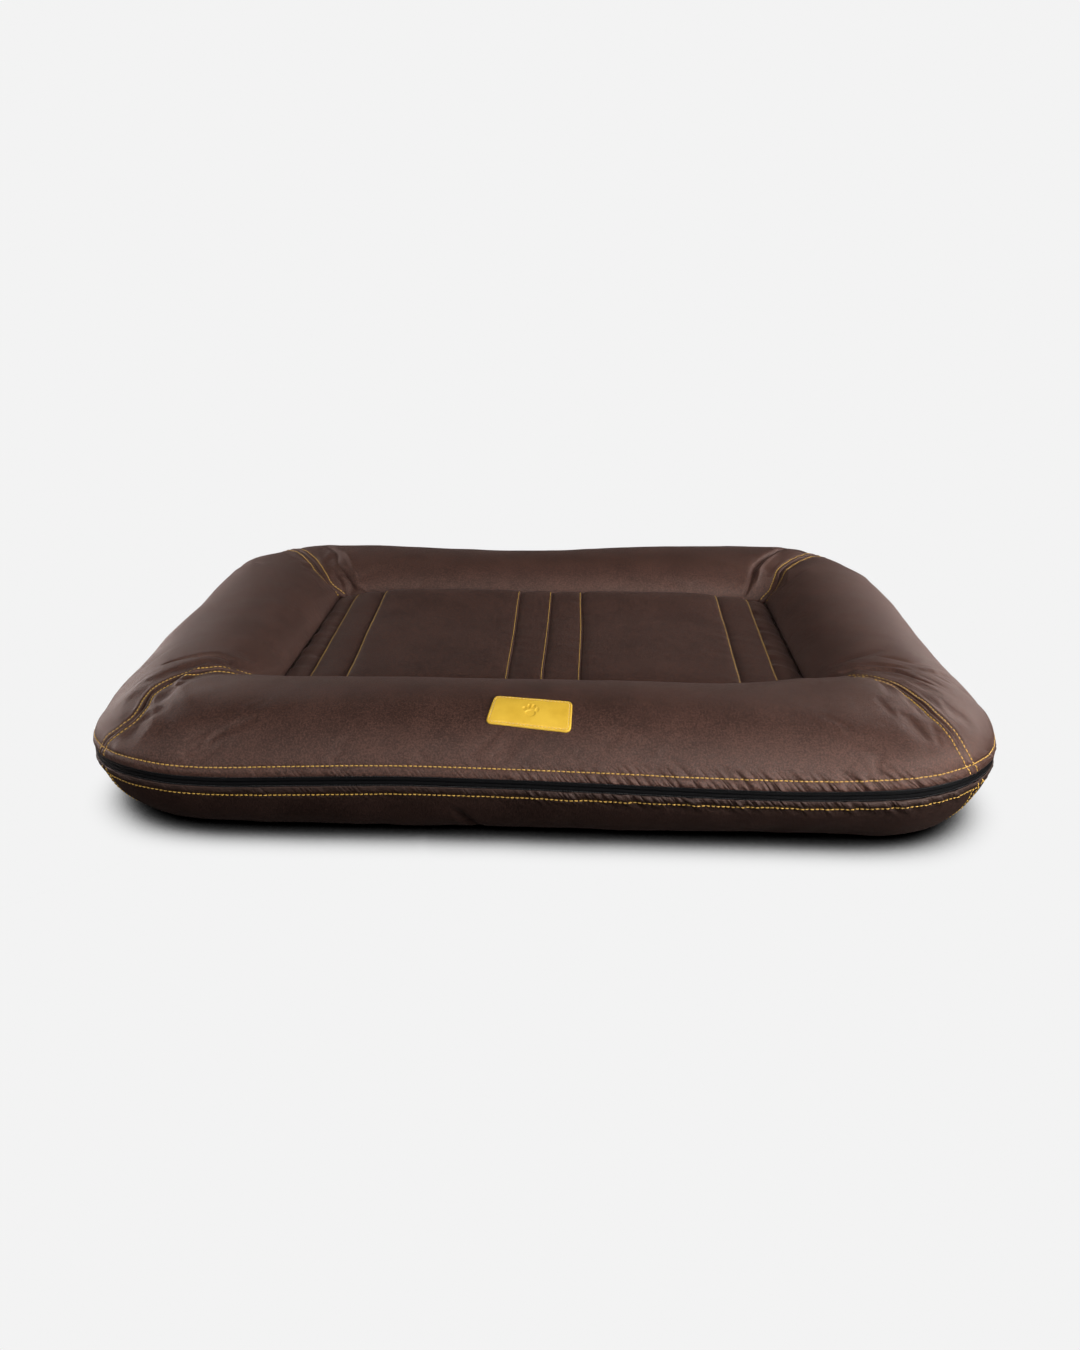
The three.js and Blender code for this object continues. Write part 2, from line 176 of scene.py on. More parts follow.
# ---------------------------------------------------------------- meshes
def new_piece(name, points, faces, places=None, smooth_faces=True):
    """An object from arrays; places is stored for the weave, in metres along and across the cloth."""
    mesh = bpy.data.meshes.new(name)
    mesh.from_pydata(np.asarray(points, float).reshape(-1, 3).tolist(), [], faces)
    if places is not None:
        flat = np.zeros((len(mesh.vertices), 3), np.float32)
        flat[:, :2] = places.reshape(-1, places.shape[-1])[:, :2]
        store = mesh.attributes.new("weave_place", "FLOAT_VECTOR", "POINT")
        store.data.foreach_set("vector", flat.ravel())
    if smooth_faces:
        mesh.shade_smooth()
    piece = bpy.data.objects.new(name, mesh)
    bpy.context.scene.collection.objects.link(piece)
    return piece


def turn_out(piece):
    """Faces point out of a closed mesh."""
    work = bmesh.new()
    work.from_mesh(piece.data)
    bmesh.ops.recalc_face_normals(work, faces=work.faces)
    work.to_mesh(piece.data)
    work.free()
    return piece


def grid_faces(n, m, start=0, flip=False, closed=False):
    i, j = np.meshgrid(np.arange(n if closed else n - 1), np.arange(m - 1), indexing="ij")
    a = i * m + j
    b = ((i + 1) % n) * m + j
    quads = np.stack([a, b, b + 1, a + 1], -1).reshape(-1, 4) + start
    return quads[:, ::-1] if flip else quads


def cloth_shell(name, outer, inner, places):
    """A closed sheet of cloth: an outer grid, an inner one of the same size, and a rim between them."""
    n, m = outer.shape[:2]
    under = n * m
    faces = [grid_faces(n, m), grid_faces(n, m, under, flip=True)]
    row = np.arange(n - 1) * m
    for edge, flip in ((row, False), (row + m - 1, True)):
        side = np.stack([edge + m, edge, edge + under, edge + m + under], -1)
        faces.append(side[:, ::-1] if flip else side)
    column = np.arange(m - 1)
    for edge, flip in ((column, False), (column + (n - 1) * m, True)):
        side = np.stack([edge, edge + 1, edge + 1 + under, edge + under], -1)
        faces.append(side[:, ::-1] if flip else side)
    return new_piece(name, [outer, inner], np.concatenate(faces).tolist(), np.array([places, places]))


def loft_faces(n, m, caps=True):
    """Faces between n closed sections of m points, and over both ends."""
    i, j = np.meshgrid(np.arange(n - 1), np.arange(m), indexing="ij")
    k = (j + 1) % m
    faces = np.stack([i * m + j, i * m + k, (i + 1) * m + k, (i + 1) * m + j], -1).reshape(-1, 4).tolist()
    if caps:
        faces += [list(range(m))[::-1], [(n - 1) * m + v for v in range(m)]]
    return faces


def tube_loft(name, sections, caps=True, places=None):
    """Skins equal closed sections, given as (sections, points, 3)."""
    n, m = sections.shape[:2]
    return turn_out(new_piece(name, sections, loft_faces(n, m, caps), places))


# ---------------------------------------------------------------- plan of the ring
def plan(u):
    """The points of the widest line and of the well's edge that face each other at u."""
    u = np.mod(np.asarray(u, float), ROUND)
    outer = np.zeros(u.shape + (2,))
    inner = np.zeros(u.shape + (2,))
    for k, (half, out, well_half, well_out) in enumerate(SIDE_SIZES):
        here = (u >= SEAM_U[k]) & (u < SEAM_U[k + 1])
        s = u[here] - SEAM_U[k] - SIDE_LENGTHS[k] / 2
        straight = half - CORNER_RADIUS
        beyond = np.maximum(np.abs(s) - straight, 0)
        turn = beyond / CORNER_RADIUS
        x = np.sign(s) * np.where(beyond > 0, straight + CORNER_RADIUS * np.sin(turn), np.abs(s))
        y = -out + CORNER_RADIUS * (1 - np.cos(turn))
        p = np.stack([x, y], -1)
        q = np.stack([2 * s * well_half / SIDE_LENGTHS[k], np.full_like(s, -well_out)], -1)
        for _ in range(k):
            p = np.stack([-p[:, 1], p[:, 0]], -1)
            q = np.stack([-q[:, 1], q[:, 0]], -1)
        outer[here], inner[here] = p, q
    return outer, inner


# Height of the zip above its level line, seen along the front and round its corners.
ZIP_WAVE = [(-0.16, 0), (-0.06, 0), (-0.02, 1), (0.05, 4.5), (0.125, -1), (0.20, 2), (0.30, 5.5), (0.42, 4),
            (0.50, 2), (0.60, -1.5), (0.67, -2.5), (0.73, 0), (0.80, 6), (0.87, 8), (0.93, 4), (1.05, 0)]


def zip_wave(u):
    """It is level along the back, where the slider runs."""
    from_seam = round_distance(u, FRONT_MIDDLE) + FRONT_MIDDLE
    off_back = smooth(0.30, 0.36, np.abs(round_distance(u, BACK_MIDDLE)))
    gentle = 1.2 * MM * ring_noise(u, 0.5, 0.16, 31) * off_back
    return through(ZIP_WAVE, from_seam) * MM + gentle


# How far each corner seam strays from the mitre, along u, against t.
SEAM_STRAY = [
    [(0, 0), (0.05, 3.5), (0.10, 7), (0.16, 15.5), (0.24, 20), (0.28, 17), (0.33, 7), (0.36, -5),
     (0.40, -15), (0.45, -21), (0.50, -26), (0.56, -29), (0.62, -28), (0.67, -16), (0.74, -2), (0.85, 4),
     (1, 0)],
    [(0, -14), (0.03, -19), (0.08, -23), (0.14, -24.5), (0.22, -19.5), (0.29, -15), (0.36, -9), (0.40, -1),
     (0.45, 5), (0.49, 14), (0.52, 21), (0.56, 25), (0.60, 28), (0.64, 28), (0.68, 26), (0.80, 14), (1, 0)],
    [(0, 8), (0.2, 12), (0.33, 16), (0.45, 10), (0.61, 11), (0.68, 8), (0.75, -2), (0.81, -6), (0.88, -9),
     (1, 0)],
    [(0, -4), (0.26, -5), (0.34, 0), (0.42, -1), (0.52, 4), (0.59, 7), (0.64, 14), (0.72, 22), (0.80, 25),
     (0.90, 16), (1, 0)],
]
STRAY_REACH = 0.17


def stray(u, t):
    total = 0
    for k in range(4):
        near = 1 - smooth(0, STRAY_REACH, np.abs(round_distance(u, SEAM_U[k])))
        total = total + near * through(SEAM_STRAY[k], t) * MM
    return total


# How deep each corner seam is drawn into the filling, against t.
SEAM_DEPTH = [
    [(0, 0), (0.15, 3), (0.35, 5), (0.5, 4), (0.65, 4), (0.85, 6), (1, 0)],
    [(0, 0), (0.15, 1), (0.35, 2), (0.5, 3), (0.65, 3), (0.85, 5), (1, 0)],
    [(0, 0), (0.15, 2), (0.35, 3), (0.5, 4), (0.65, 7), (0.85, 8), (1, 0)],
    [(0, 0), (0.15, 2), (0.35, 3), (0.5, 4), (0.65, 8), (0.85, 9), (1, 0)],
]


# ---------------------------------------------------------------- the rim, pressed out from inside
def rim_surface(u, t):
    """The rim's plain surface, before the filling presses it out."""
    bent = u + stray(u, t)
    outer, inner = plan(bent)
    share = (EDGE_INSET + (RIM_WIDTH - EDGE_INSET) * (1 - np.cos(np.pi * t)) / 2) / RIM_WIDTH
    foot = np.where(t < 0.5, TOP_EDGE - COVER_REACH, WELL_SEAM)
    z = foot + (CREST - foot) * np.abs(np.sin(np.pi * t)) ** RIM_FULLNESS
    z = z + zip_wave(u) * (1 - smooth(0, 0.42, t))
    return np.concatenate([outer + (inner - outer) * share[..., None], z[..., None]], -1)


RIM_ROWS = 41
RIM_COLUMNS = 492


def even_shares(rows):
    """Values of t that divide the section into even lengths."""
    t = np.linspace(0, 1, 400)
    line = rim_surface(np.full_like(t, FRONT_MIDDLE), t)
    run = run_along(line)
    return np.interp(np.linspace(0, run[-1], rows), run, t), run[-1]


SHARES, SECTION = even_shares(RIM_ROWS)


CLOTH = {"quality": 6, "mass": 0.2, "tension_stiffness": 25, "compression_stiffness": 25,
         "shear_stiffness": 8, "bending_stiffness": 0.25, "tension_damping": 12, "compression_damping": 12,
         "air_damping": 2}
PRESSURE = 2.2
PRESS_FRAMES = 24
PRESS_REACH = 12 * MM  # no point moves further
SWELL = (0.001, 0.022)  # how much too large the cloth is cut where slack is 0, and where it is 1


def weigh(piece, name, weights):
    """A vertex group; the points of one weight are added together."""
    group = piece.vertex_groups.new(name=name)
    for weight in np.unique(weights):
        group.add(np.nonzero(weights == weight)[0].tolist(), float(weight), "REPLACE")


def pressed_out(points, held, slack):
    """Cloth simulation of a ring of cloth under pressure from inside."""
    n, m = points.shape[:2]
    piece = new_piece("pressing", points, grid_faces(n, m, closed=True).tolist())
    weigh(piece, "held", held.ravel())
    weigh(piece, "loose", np.round(slack.ravel() * 20) / 20)
    settings = piece.modifiers.new("cloth", "CLOTH").settings
    for key, value in CLOTH.items():
        setattr(settings, key, value)
    settings.vertex_group_mass, settings.vertex_group_shrink = "held", "loose"
    settings.shrink_min, settings.shrink_max = -SWELL[0], -SWELL[1]
    settings.use_pressure = True
    settings.uniform_pressure_force = PRESSURE
    settings.effector_weights.gravity = 0
    scene = bpy.context.scene
    for number in range(1, PRESS_FRAMES + 1):
        scene.frame_set(number)
    shaped = piece.evaluated_get(bpy.context.evaluated_depsgraph_get())
    moved = np.empty(n * m * 3)
    shaped.data.vertices.foreach_get("co", moved)
    scene.frame_set(1)
    bpy.data.objects.remove(piece)
    move = moved.reshape(n, m, 3) - points
    length = np.linalg.norm(move, axis=2, keepdims=True)
    return points + move * np.minimum(1, PRESS_REACH / np.maximum(length, 1e-9))


def rim_cloth():
    """The rim's cloth on a coarse ring: plain surface, drawn-in corner seams, and the simulation."""
    u = np.arange(RIM_COLUMNS) * ROUND / RIM_COLUMNS
    uu, tt = np.meshgrid(u, SHARES, indexing="ij")
    points = rim_surface(uu, tt)
    normals = grid_normals(points, True)
    held = np.zeros(uu.shape)
    held[:, 0] = held[:, -1] = 1
    depth = np.zeros(uu.shape)
    slack = np.zeros(uu.shape)
    for k in range(4):
        away = np.abs(round_distance(uu, SEAM_U[k]))
        deep = through(SEAM_DEPTH[k], tt) * MM
        depth += deep * np.exp(-(np.hypot(away, 9 * MM) - 9 * MM) / (22 * MM))
        held[away < 3.1 * MM] = 1
        slack = np.maximum(slack, 1 - smooth(20 * MM, 110 * MM, away))
    seeds = 0.9 * MM * ring_noise(uu, tt * SECTION / 0.030, 0.022, 5) * (0.15 + 0.85 * slack)
    lift = (seeds * np.sin(np.pi * tt) - depth)[..., None]
    points = points + normals * lift
    return pressed_out(points, held, slack)


COARSE = rim_cloth()

# ---------------------------------------------------------------- fine detail of the rim
STITCH_ROW = 9.5 * MM  # from the cover's edge to its topstitching
SEAM_ROWS = (4.6 * MM, 4.6 * MM, 6.4 * MM, 6.2 * MM)  # from each corner seam to each of its two rows
FINE_STEP = 1.7 * MM


def fine_rows():
    """Distances across the section, close together at the zip and by the well."""
    near_zip = np.arange(0, 26, 1.25) * MM
    middle = np.linspace(26 * MM, SECTION - 16 * MM, 46)
    near_well = SECTION - np.array([12, 9, 6.5, 4.5, 3, 1.5, 0]) * MM
    return np.concatenate([near_zip, middle, near_well])


ACROSS = fine_rows()
FINE_COLUMNS = int(round(ROUND / FINE_STEP))
FINE_U = np.arange(FINE_COLUMNS) * ROUND / FINE_COLUMNS
PLAIN = refine(COARSE, ACROSS / SECTION * (RIM_ROWS - 1), FINE_U / ROUND * RIM_COLUMNS)


def seam_spread(k):
    """How far apart in u two lines beside a corner seam have to be, to lie one unit apart on the cloth."""
    column = int(round(SEAM_U[k] / ROUND * FINE_COLUMNS))
    run = unit(np.gradient(PLAIN[column % FINE_COLUMNS], axis=0))
    reach = 3
    step = PLAIN[(column + reach) % FINE_COLUMNS] - PLAIN[(column - reach) % FINE_COLUMNS]
    step = step / (2 * reach * ROUND / FINE_COLUMNS)
    apart = np.linalg.norm(step - (step * run).sum(1, keepdims=True) * run, axis=1)
    kernel = np.hanning(11)
    padded = np.pad(np.clip(1 / apart, 0.9, 2.4), 5, mode="edge")
    return np.convolve(padded, kernel / kernel.sum(), mode="valid")


SEAM_SPREAD = [seam_spread(k) for k in range(4)]


def from_seam(k, u, across):
    """Signed distance on the cloth from a corner seam."""
    return round_distance(u, SEAM_U[k]) / np.interp(across, ACROSS, SEAM_SPREAD[k])


# How far the filling swells or sinks: the middle and half width of the band it does so in, as distances
# from the zip, then the height against u. All in millimetres.
FILLING = [
    (160, 45, [(0, 0), (59, -0.6), (95, -1.0), (162, -1.6), (233, -1.3), (302, -2.3), (424, -2.7),
               (479, -2.8), (519, -2.1), (641, -2.0), (683, -1.0), (720, 0.9), (737, 2.5), (754, 4.5),
               (764, 6.1), (792, 7.8), (806, 10), (835, 6), (860, 0)]),
    (38, 35, [(885, 0), (911, -3.0), (943, 0), (985, 0.6), (1050, -0.8), (1145, -1.2), (1197, 0.3),
              (1264, 1.9), (1359, 0.4), (1409, -6.1), (1430, -4.4), (1457, -1.2), (1470, 0)]),
    (77, 45, [(1455, 0), (1468, 0.9), (1502, 4.2), (1516, 6.0), (1535, 4.1), (1598, 2.5), (1649, 1.4),
              (1745, 0.3), (1793, -1.9), (1825, -3.9), (1865, -5.4), (1890, -6.8), (1938, -7.1),
              (1994, -7.9), (2035, -6.0), (2066, -6.2), (2100, -4.6), (2150, -4.3), (2182, -3.1),
              (2230, -2.0), (2245, -2.7), (2266, 1.4), (2293, 0), (2308, 2.5), (2329, 4.0), (2345, 0)]),
    (38, 35, [(2350, 0), (2381, 4.1), (2451, 8.0), (2528, 6.5), (2585, 4.3), (2659, 4.8), (2715, 4.8),
              (2757, 1.5), (2814, 0), (2839, -1.1), (2864, -6.2), (2875, -6.4), (2888, -4.8),
              (2898, -1.7), (2925, 0)]),
]


def filling(u, across):
    total = 0
    for middle, half, heights in FILLING:
        total = total + through(heights, np.mod(u, ROUND) / MM) * MM * bump(across, middle * MM, half * MM)
    return total


# Drawn folds: the corner they belong to, their line as (u from the seam, distance from the zip),
# half width and depth, in millimetres. Positive depth is a crease, negative a ridge.
FOLDS = [
    (0, [(-69, 89), (-63, 113), (-55, 132), (-38, 152), (-8, 160)], 5.0, 5.5),
    (0, [(-21, 134), (-6, 121), (29, 97)], 5.5, -2.6),
    (0, [(2, 119), (30, 100), (63, 77)], 7.0, -1.6),
    (0, [(15, 97), (32, 77)], 9.0, 1.6),
    (0, [(13, 65), (34, 42), (42, 24)], 9.0, -1.6),
    (0, [(17, 24), (24, 8)], 6.0, -1.0),
    (0, [(-10, 60), (-40, 50)], 8.0, 1.6),
    (1, [(28, 168), (41, 140), (57, 117), (64, 85)], 5.0, 5.0),
    (1, [(51, 148), (81, 109), (125, 58)], 5.5, 3.0),
    (1, [(106, 124), (118, 89), (169, 38)], 7.0, 2.4),
    (1, [(18, 180), (-35, 152)], 5.5, 3.5),
    (1, [(66, 176), (99, 144), (135, 121)], 7.0, 2.2),
    (1, [(70, 130), (92, 96), (120, 70)], 6.0, -2.4),
    (1, [(-30, 174), (-80, 160)], 7.0, 1.8),
    (2, [(47, 73), (49, 128), (51, 160), (49, 184), (45, 210)], 4.5, 6.0),
    (2, [(39, 110), (41, 160), (36, 191)], 4.5, -2.6),
    (2, [(3, 148), (-40, 166), (-72, 172)], 6.0, -1.6),
    (2, [(-12, 190), (-50, 176)], 6.0, 2.4),
    (3, [(-44, 164), (-46, 187), (-40, 203), (-21, 213)], 4.5, 6.5),
    (3, [(-32, 168), (-28, 191), (-13, 213)], 4.0, 3.6),
    (3, [(-49, 81), (-51, 124), (-44, 156)], 5.0, 3.6),
    (3, [(-36, 180), (-57, 184)], 4.0, 2.6),
    (3, [(-38, 187), (-52, 199), (-60, 210)], 4.0, -2.6),
    (3, [(29, 85), (23, 117), (12, 136)], 5.0, 4.0),
    (3, [(-63, 132), (-65, 164), (-61, 184)], 6.0, -2.6),
    (3, [(40, 124), (56, 152), (90, 184)], 7.0, -1.6),
]


def folds(u, across):
    total = 0
    for corner, line, width, depth in FOLDS:
        du = round_distance(u, SEAM_U[corner])
        line = np.array(line) * MM
        lengths = np.linalg.norm(np.diff(line, axis=0), axis=1)
        nearest, where, run = np.full(du.shape, 1.0), np.zeros(du.shape), 0
        for start, step, length in zip(line, np.diff(line, axis=0), lengths):
            share = np.clip(((du - start[0]) * step[0] + (across - start[1]) * step[1]) / length ** 2, 0, 1)
            away = np.hypot(du - start[0] - share * step[0], across - start[1] - share * step[1])
            closer = away < nearest
            nearest = np.where(closer, away, nearest)
            where = np.where(closer, run + share * length, where)
            run = run + length
        s = where / run
        half = width * MM * (0.45 + 0.5 * np.sin(np.pi * np.clip(s, 0.02, 0.98)) ** 0.5)
        profile = np.exp(-(nearest / half) ** 1.35) * (0.35 + 0.65 * np.sin(np.pi * s) ** 0.6)
        total = total - depth * MM * profile
    return total


def pucker_strength(u):
    """Puckers by the zip are strongest along the right half of the front."""
    x = round_distance(u, FRONT_MIDDLE)
    right = smooth(-0.05, 0.12, x) * (1 - smooth(0.33, 0.52, x))
    patchy = 0.5 + 0.5 * ring_noise(u, 2.5, 0.11, 17)
    return 0.12 + 0.28 * patchy + 0.9 * right


def puckers(u, across, slant, seed):
    """Short slanted creases between the cover's edge and a little above its topstitching."""
    lean = u - slant * across
    fine = ring_noise(lean, across / (34 * MM), 7.0 * MM, seed)
    broad = ring_noise(lean + 0.1, across / (50 * MM), 19 * MM, seed + 1)
    crease = 1 - np.abs(fine * 0.85 + broad * 0.3) * 2.6
    fade = smooth(-1 * MM, 2.5 * MM, across) * (1 - smooth(STITCH_ROW, STITCH_ROW + 16 * MM, across)) ** 1.5
    under = 1 - 0.5 * bump(across, STITCH_ROW, 1.6 * MM)
    drawn = -1.2 * MM * crease * fade * under * pucker_strength(u)
    return np.maximum(drawn, -0.9 * MM * smooth(2 * MM, 7 * MM, across))


def rim_detail(u, across):
    """Height to add along the normal: stitched rows, seams, puckers, folds and lumps of the filling."""
    t_like = across / SECTION
    middle = np.sin(np.pi * np.clip(t_like, 0, 1))
    lumps = 1.8 * MM * ring_noise(u, across / 0.13, 0.15, 41)
    lumps = lumps + 0.5 * MM * ring_noise(u, across / 0.06, 0.07, 43)
    soft = 0.12 * MM * ring_noise(u + 0.4 * across, across / 0.05, 0.019, 47)
    height = (lumps + soft) * middle
    height = height + filling(u, across) + folds(u, across) + puckers(u, across, -0.9, 61)
    height = height - 0.75 * MM * bump(across, STITCH_ROW, 1.3 * MM)
    height = height + 0.9 * MM * bump(across, STITCH_ROW / 2, 3.4 * MM)
    height = height - 1.3 * MM * bump(across, SECTION, 3.0 * MM)
    for k in range(4):
        du = from_seam(k, u, across)
        away = np.abs(du)
        row = SEAM_ROWS[k]
        height = height - 1.6 * MM * bump(away, 0, 1.0 * MM) + 1.1 * MM * bump(away, row / 2, 0.55 * row)
        height = height - 0.7 * MM * bump(away, row, 1.1 * MM) + 0.5 * MM * bump(away, row + 3 * MM, 2.2 * MM)
        ripple = noise2(across / (9 * MM) + 3 * k, du / (24 * MM) + 20, 71 + k)
        near = smooth(row - MM, row + 4 * MM, away) * (1 - smooth(row + 6 * MM, row + 26 * MM, away))
        height = height + (0.35 if k < 2 else 0.7) * MM * ripple * near * middle
    return height


def read_ring(grid, rows, u, across):
    """A ring of fine columns, read between its points."""
    u, across = np.broadcast_arrays(np.asarray(u, float), np.asarray(across, float))
    i = np.mod(u, ROUND) / ROUND * FINE_COLUMNS
    j = np.interp(across, rows, np.arange(len(rows)))
    i0, j0 = np.floor(i).astype(int), np.minimum(np.floor(j).astype(int), len(rows) - 2)
    fi, fj = (i - i0)[..., None], (j - j0)[..., None]
    left, right = i0 % FINE_COLUMNS, (i0 + 1) % FINE_COLUMNS
    low = grid[left, j0] * (1 - fi) + grid[right, j0] * fi
    high = grid[left, j0 + 1] * (1 - fi) + grid[right, j0 + 1] * fi
    return low * (1 - fj) + high * fj


FINE_GRID = np.meshgrid(FINE_U, ACROSS, indexing="ij")
RIM = PLAIN + grid_normals(PLAIN, True) * rim_detail(*FINE_GRID)[..., None]
RIM_NORMALS = grid_normals(RIM, True)


def on_rim(u, across):
    """Points on the finished rim and the normals there."""
    return read_ring(RIM, ACROSS, u, across), unit(read_ring(RIM_NORMALS, ACROSS, u, across))


# ---------------------------------------------------------------- the bottom cover's border
def border_surface(u, s):
    """From the zip at s = 0, down and under to the floor at s = 1."""
    outer, inner = plan(u)
    turn = s * np.pi / 2
    inset = EDGE_INSET + (FLOOR_INSET - EDGE_INSET) * (1 - np.cos(turn)) ** 0.92
    z = (BOTTOM_EDGE + COVER_REACH) * (1 - np.sin(turn) ** 1.12)
    z = z + zip_wave(u) * (1 - smooth(0, 0.75, s))
    return np.concatenate([outer + (inner - outer) * (inset / RIM_WIDTH)[..., None], z[..., None]], -1)


def border_detail(u, across, length):
    free = smooth(2 * MM, 16 * MM, across)  # the edge follows the zip closely
    lumps = 1.6 * MM * ring_noise(u, across / 0.07, 0.09, 83)
    lumps = lumps + 0.7 * MM * ring_noise(u + 0.3 * across, across / 0.06, 0.024, 85)
    height = lumps * free + np.maximum(puckers(u, across, 0.8, 81), -0.3 * MM - 2 * MM * free)
    height = height - 0.7 * MM * bump(across, STITCH_ROW, 1.3 * MM)
    height = height + 0.8 * MM * bump(across, STITCH_ROW / 2, 3 * MM)
    x = round_distance(u, FRONT_MIDDLE)
    fold = bump(x - (across - 0.05) * 0.35, -66 * MM, 5 * MM) * smooth(0.02, 0.045, across)
    height = height - 4.5 * MM * fold
    for k in range(4):
        away = np.abs(round_distance(u, SEAM_U[k]))
        height = height - 1.3 * MM * bump(away, 0, 1.1 * MM) + 0.5 * MM * bump(away, 0, 7 * MM)
        height = height - 0.5 * MM * bump(away, SEAM_ROWS[k], 1.2 * MM)
    on_floor = 1 - smooth(0.72 * length, 0.95 * length, across)
    return height * on_floor * smooth(-2 * MM, 2 * MM, across)


def border_grid():
    s = np.linspace(0, 1, 300)
    line = border_surface(np.full_like(s, FRONT_MIDDLE), s)
    run = run_along(line)
    across = np.concatenate([np.arange(0, 22, 1.25) * MM, np.linspace(22 * MM, run[-1], 28)])
    uu, ss = np.meshgrid(FINE_U, np.interp(across, run, s), indexing="ij")
    points = border_surface(uu, ss)
    normals = -grid_normals(points, True)
    detail = border_detail(uu, np.broadcast_to(across, uu.shape), run[-1])
    points = points + normals * detail[..., None]
    points[..., 2] = np.maximum(points[..., 2], 0.05 * MM)
    return points, across, run[-1]


BORDER, BORDER_ACROSS, BORDER_LENGTH = border_grid()
BORDER_NORMALS = -grid_normals(BORDER, True)


def on_border(u, across):
    """The same on the bottom cover's border."""
    normals = read_ring(BORDER_NORMALS, BORDER_ACROSS, u, across)
    return read_ring(BORDER, BORDER_ACROSS, u, across), unit(normals)


# ---------------------------------------------------------------- materials
class Nodes:
    """Short ways to add and join shader nodes."""

    def __init__(self, tree):
        self.tree = tree

    def add(self, kind, **values):
        node = self.tree.nodes.new("ShaderNode" + kind)
        for key, value in values.items():
            if key in node.inputs:
                node.inputs[key].default_value = value
            else:
                setattr(node, key, value)
        return node

    def link(self, source, target):
        self.tree.links.new(source, target)

    def math(self, operation, a, b=None, clamp=False):
        node = self.add("Math", operation=operation, use_clamp=clamp)
        for socket, value in zip(node.inputs, (a, b)):
            if isinstance(value, (int, float)):
                socket.default_value = value
            elif value is not None:
                self.link(value, socket)
        return node.outputs[0]

    def plus(self, a, b):
        return self.math("ADD", a, b)

    def minus(self, a, b, clamp=False):
        return self.math("SUBTRACT", a, b, clamp)

    def times(self, a, b, clamp=False):
        return self.math("MULTIPLY", a, b, clamp)

    def wave(self, distance, pitch):
        return self.math("SINE", self.times(distance, 2 * math.pi / pitch))

    def space(self):
        return self.add("TexCoord").outputs["Object"]

    def weave_place(self):
        return self.add("Attribute", attribute_name="weave_place").outputs["Vector"]

    def parts(self, vector):
        split = self.add("SeparateXYZ")
        self.link(vector, split.inputs[0])
        return split.outputs

    def noise(self, vector, scale, detail=2.0, roughness=0.5):
        node = self.add("TexNoise", Scale=scale, Detail=detail, Roughness=roughness)
        self.link(vector, node.inputs["Vector"])
        return node.outputs["Fac"]

    def ramp(self, value, *stops):
        node = self.add("ValToRGB")
        elements = node.color_ramp.elements
        while len(elements) < len(stops):
            elements.new(0.5)
        for element, (position, colour) in zip(elements, stops):
            element.position = position
            element.color = (*colour, 1)
        self.link(value, node.inputs["Fac"])
        return node.outputs["Color"]

    def bump(self, height, distance, strength=1.0, normal=None):
        node = self.add("Bump", Strength=strength, Distance=distance)
        self.link(height, node.inputs["Height"])
        if normal is not None:
            self.link(normal, node.inputs["Normal"])
        return node.outputs["Normal"]


def material(name, colour, roughness, **sockets):
    """A material, its nodes and its shader, with the sockets' values set on the shader."""
    made = bpy.data.materials.new(name)
    made.use_nodes = True
    shader = made.node_tree.nodes["Principled BSDF"]
    shader.inputs["Base Color"].default_value = (*colour, 1)
    shader.inputs["Roughness"].default_value = roughness
    for socket, value in sockets.items():
        shader.inputs[socket.replace("_", " ")].default_value = value
    return made, Nodes(made.node_tree), shader


def shade(colour, factor):
    return tuple(c * factor for c in colour)


def woven(name, colour, roughness, sheen, twill=0.62 * MM, mottle=0.5, cloud=0.5, tint=(1.0, 0.78, 0.72),
          placed=True, puckered=0.0, grain_scale=600):
    """A fine satin weave: diagonal ribs of thread, mottled colour and a soft nap. Beside the zip it is drawn
    into small slanted creases, which lean by puckered."""
    made, n, shader = material(
        name, colour, roughness, Sheen_Weight=sheen, Sheen_Roughness=0.38, Sheen_Tint=(*tint, 1),
        Specular_IOR_Level=0.65, Specular_Tint=(1.0, 0.76, 0.68, 1))
    space = n.space()
    along, across, _ = n.parts(n.weave_place() if placed else space)
    wobble = n.times(n.minus(n.noise(space, 160), 0.5), 1.6)
    warp = n.times(along, 2 * math.pi / twill)
    weft = n.times(across, 2 * math.pi / twill)
    diagonal = n.math("SINE", n.plus(n.plus(warp, n.times(weft, 0.55)), wobble))
    cross = n.math("SINE", n.times(weft, 1.7))
    thread = n.plus(n.times(diagonal, 0.35), n.times(cross, 0.18))
    grain = n.minus(n.noise(space, grain_scale, 2.0, 0.7), 0.5)
    uneven = n.minus(n.noise(space, 26, 3.0, 0.55), 0.5)
    speck = n.plus(grain, n.times(thread, 0.10))
    tone = n.plus(n.times(speck, mottle * 4.0), n.plus(n.times(uneven, cloud), 0.25))
    stops = (0.0, shade(colour, 0.5)), (0.25, colour), (0.55, shade(colour, 1.7))
    n.link(n.ramp(tone, *stops), shader.inputs["Base Color"])
    rough = n.plus(n.times(uneven, 0.16), n.plus(n.times(speck, 0.35), roughness))
    n.link(rough, shader.inputs["Roughness"])
    relief = n.plus(n.times(thread, 0.4), n.times(grain, 1.6))
    normal = n.bump(relief, 0.30 * MM, 0.8)
    normal = n.bump(n.noise(space, 70, 4.0, 0.6), 0.9 * MM, 0.35, normal)
    if puckered:
        normal = n.bump(pucker_relief(n, along, across, puckered), PUCKER_DEPTH, 1.0, normal)
    n.link(normal, shader.inputs["Normal"])
    return made


FAR_FROM_ZIP = 1.0  # added to the weave's places on pieces that have no puckers
PUCKER_DEPTH = 2.6 * MM
PUCKER_PITCH = 9 * MM
PUCKER_LENGTH = 60 * MM
PUCKER_REACH = 19 * MM  # they fade out this far from the zip
PUCKER_MIDDLE, PUCKER_SPREAD = FRONT_MIDDLE + 190 * MM, 190 * MM  # where along u they are strongest


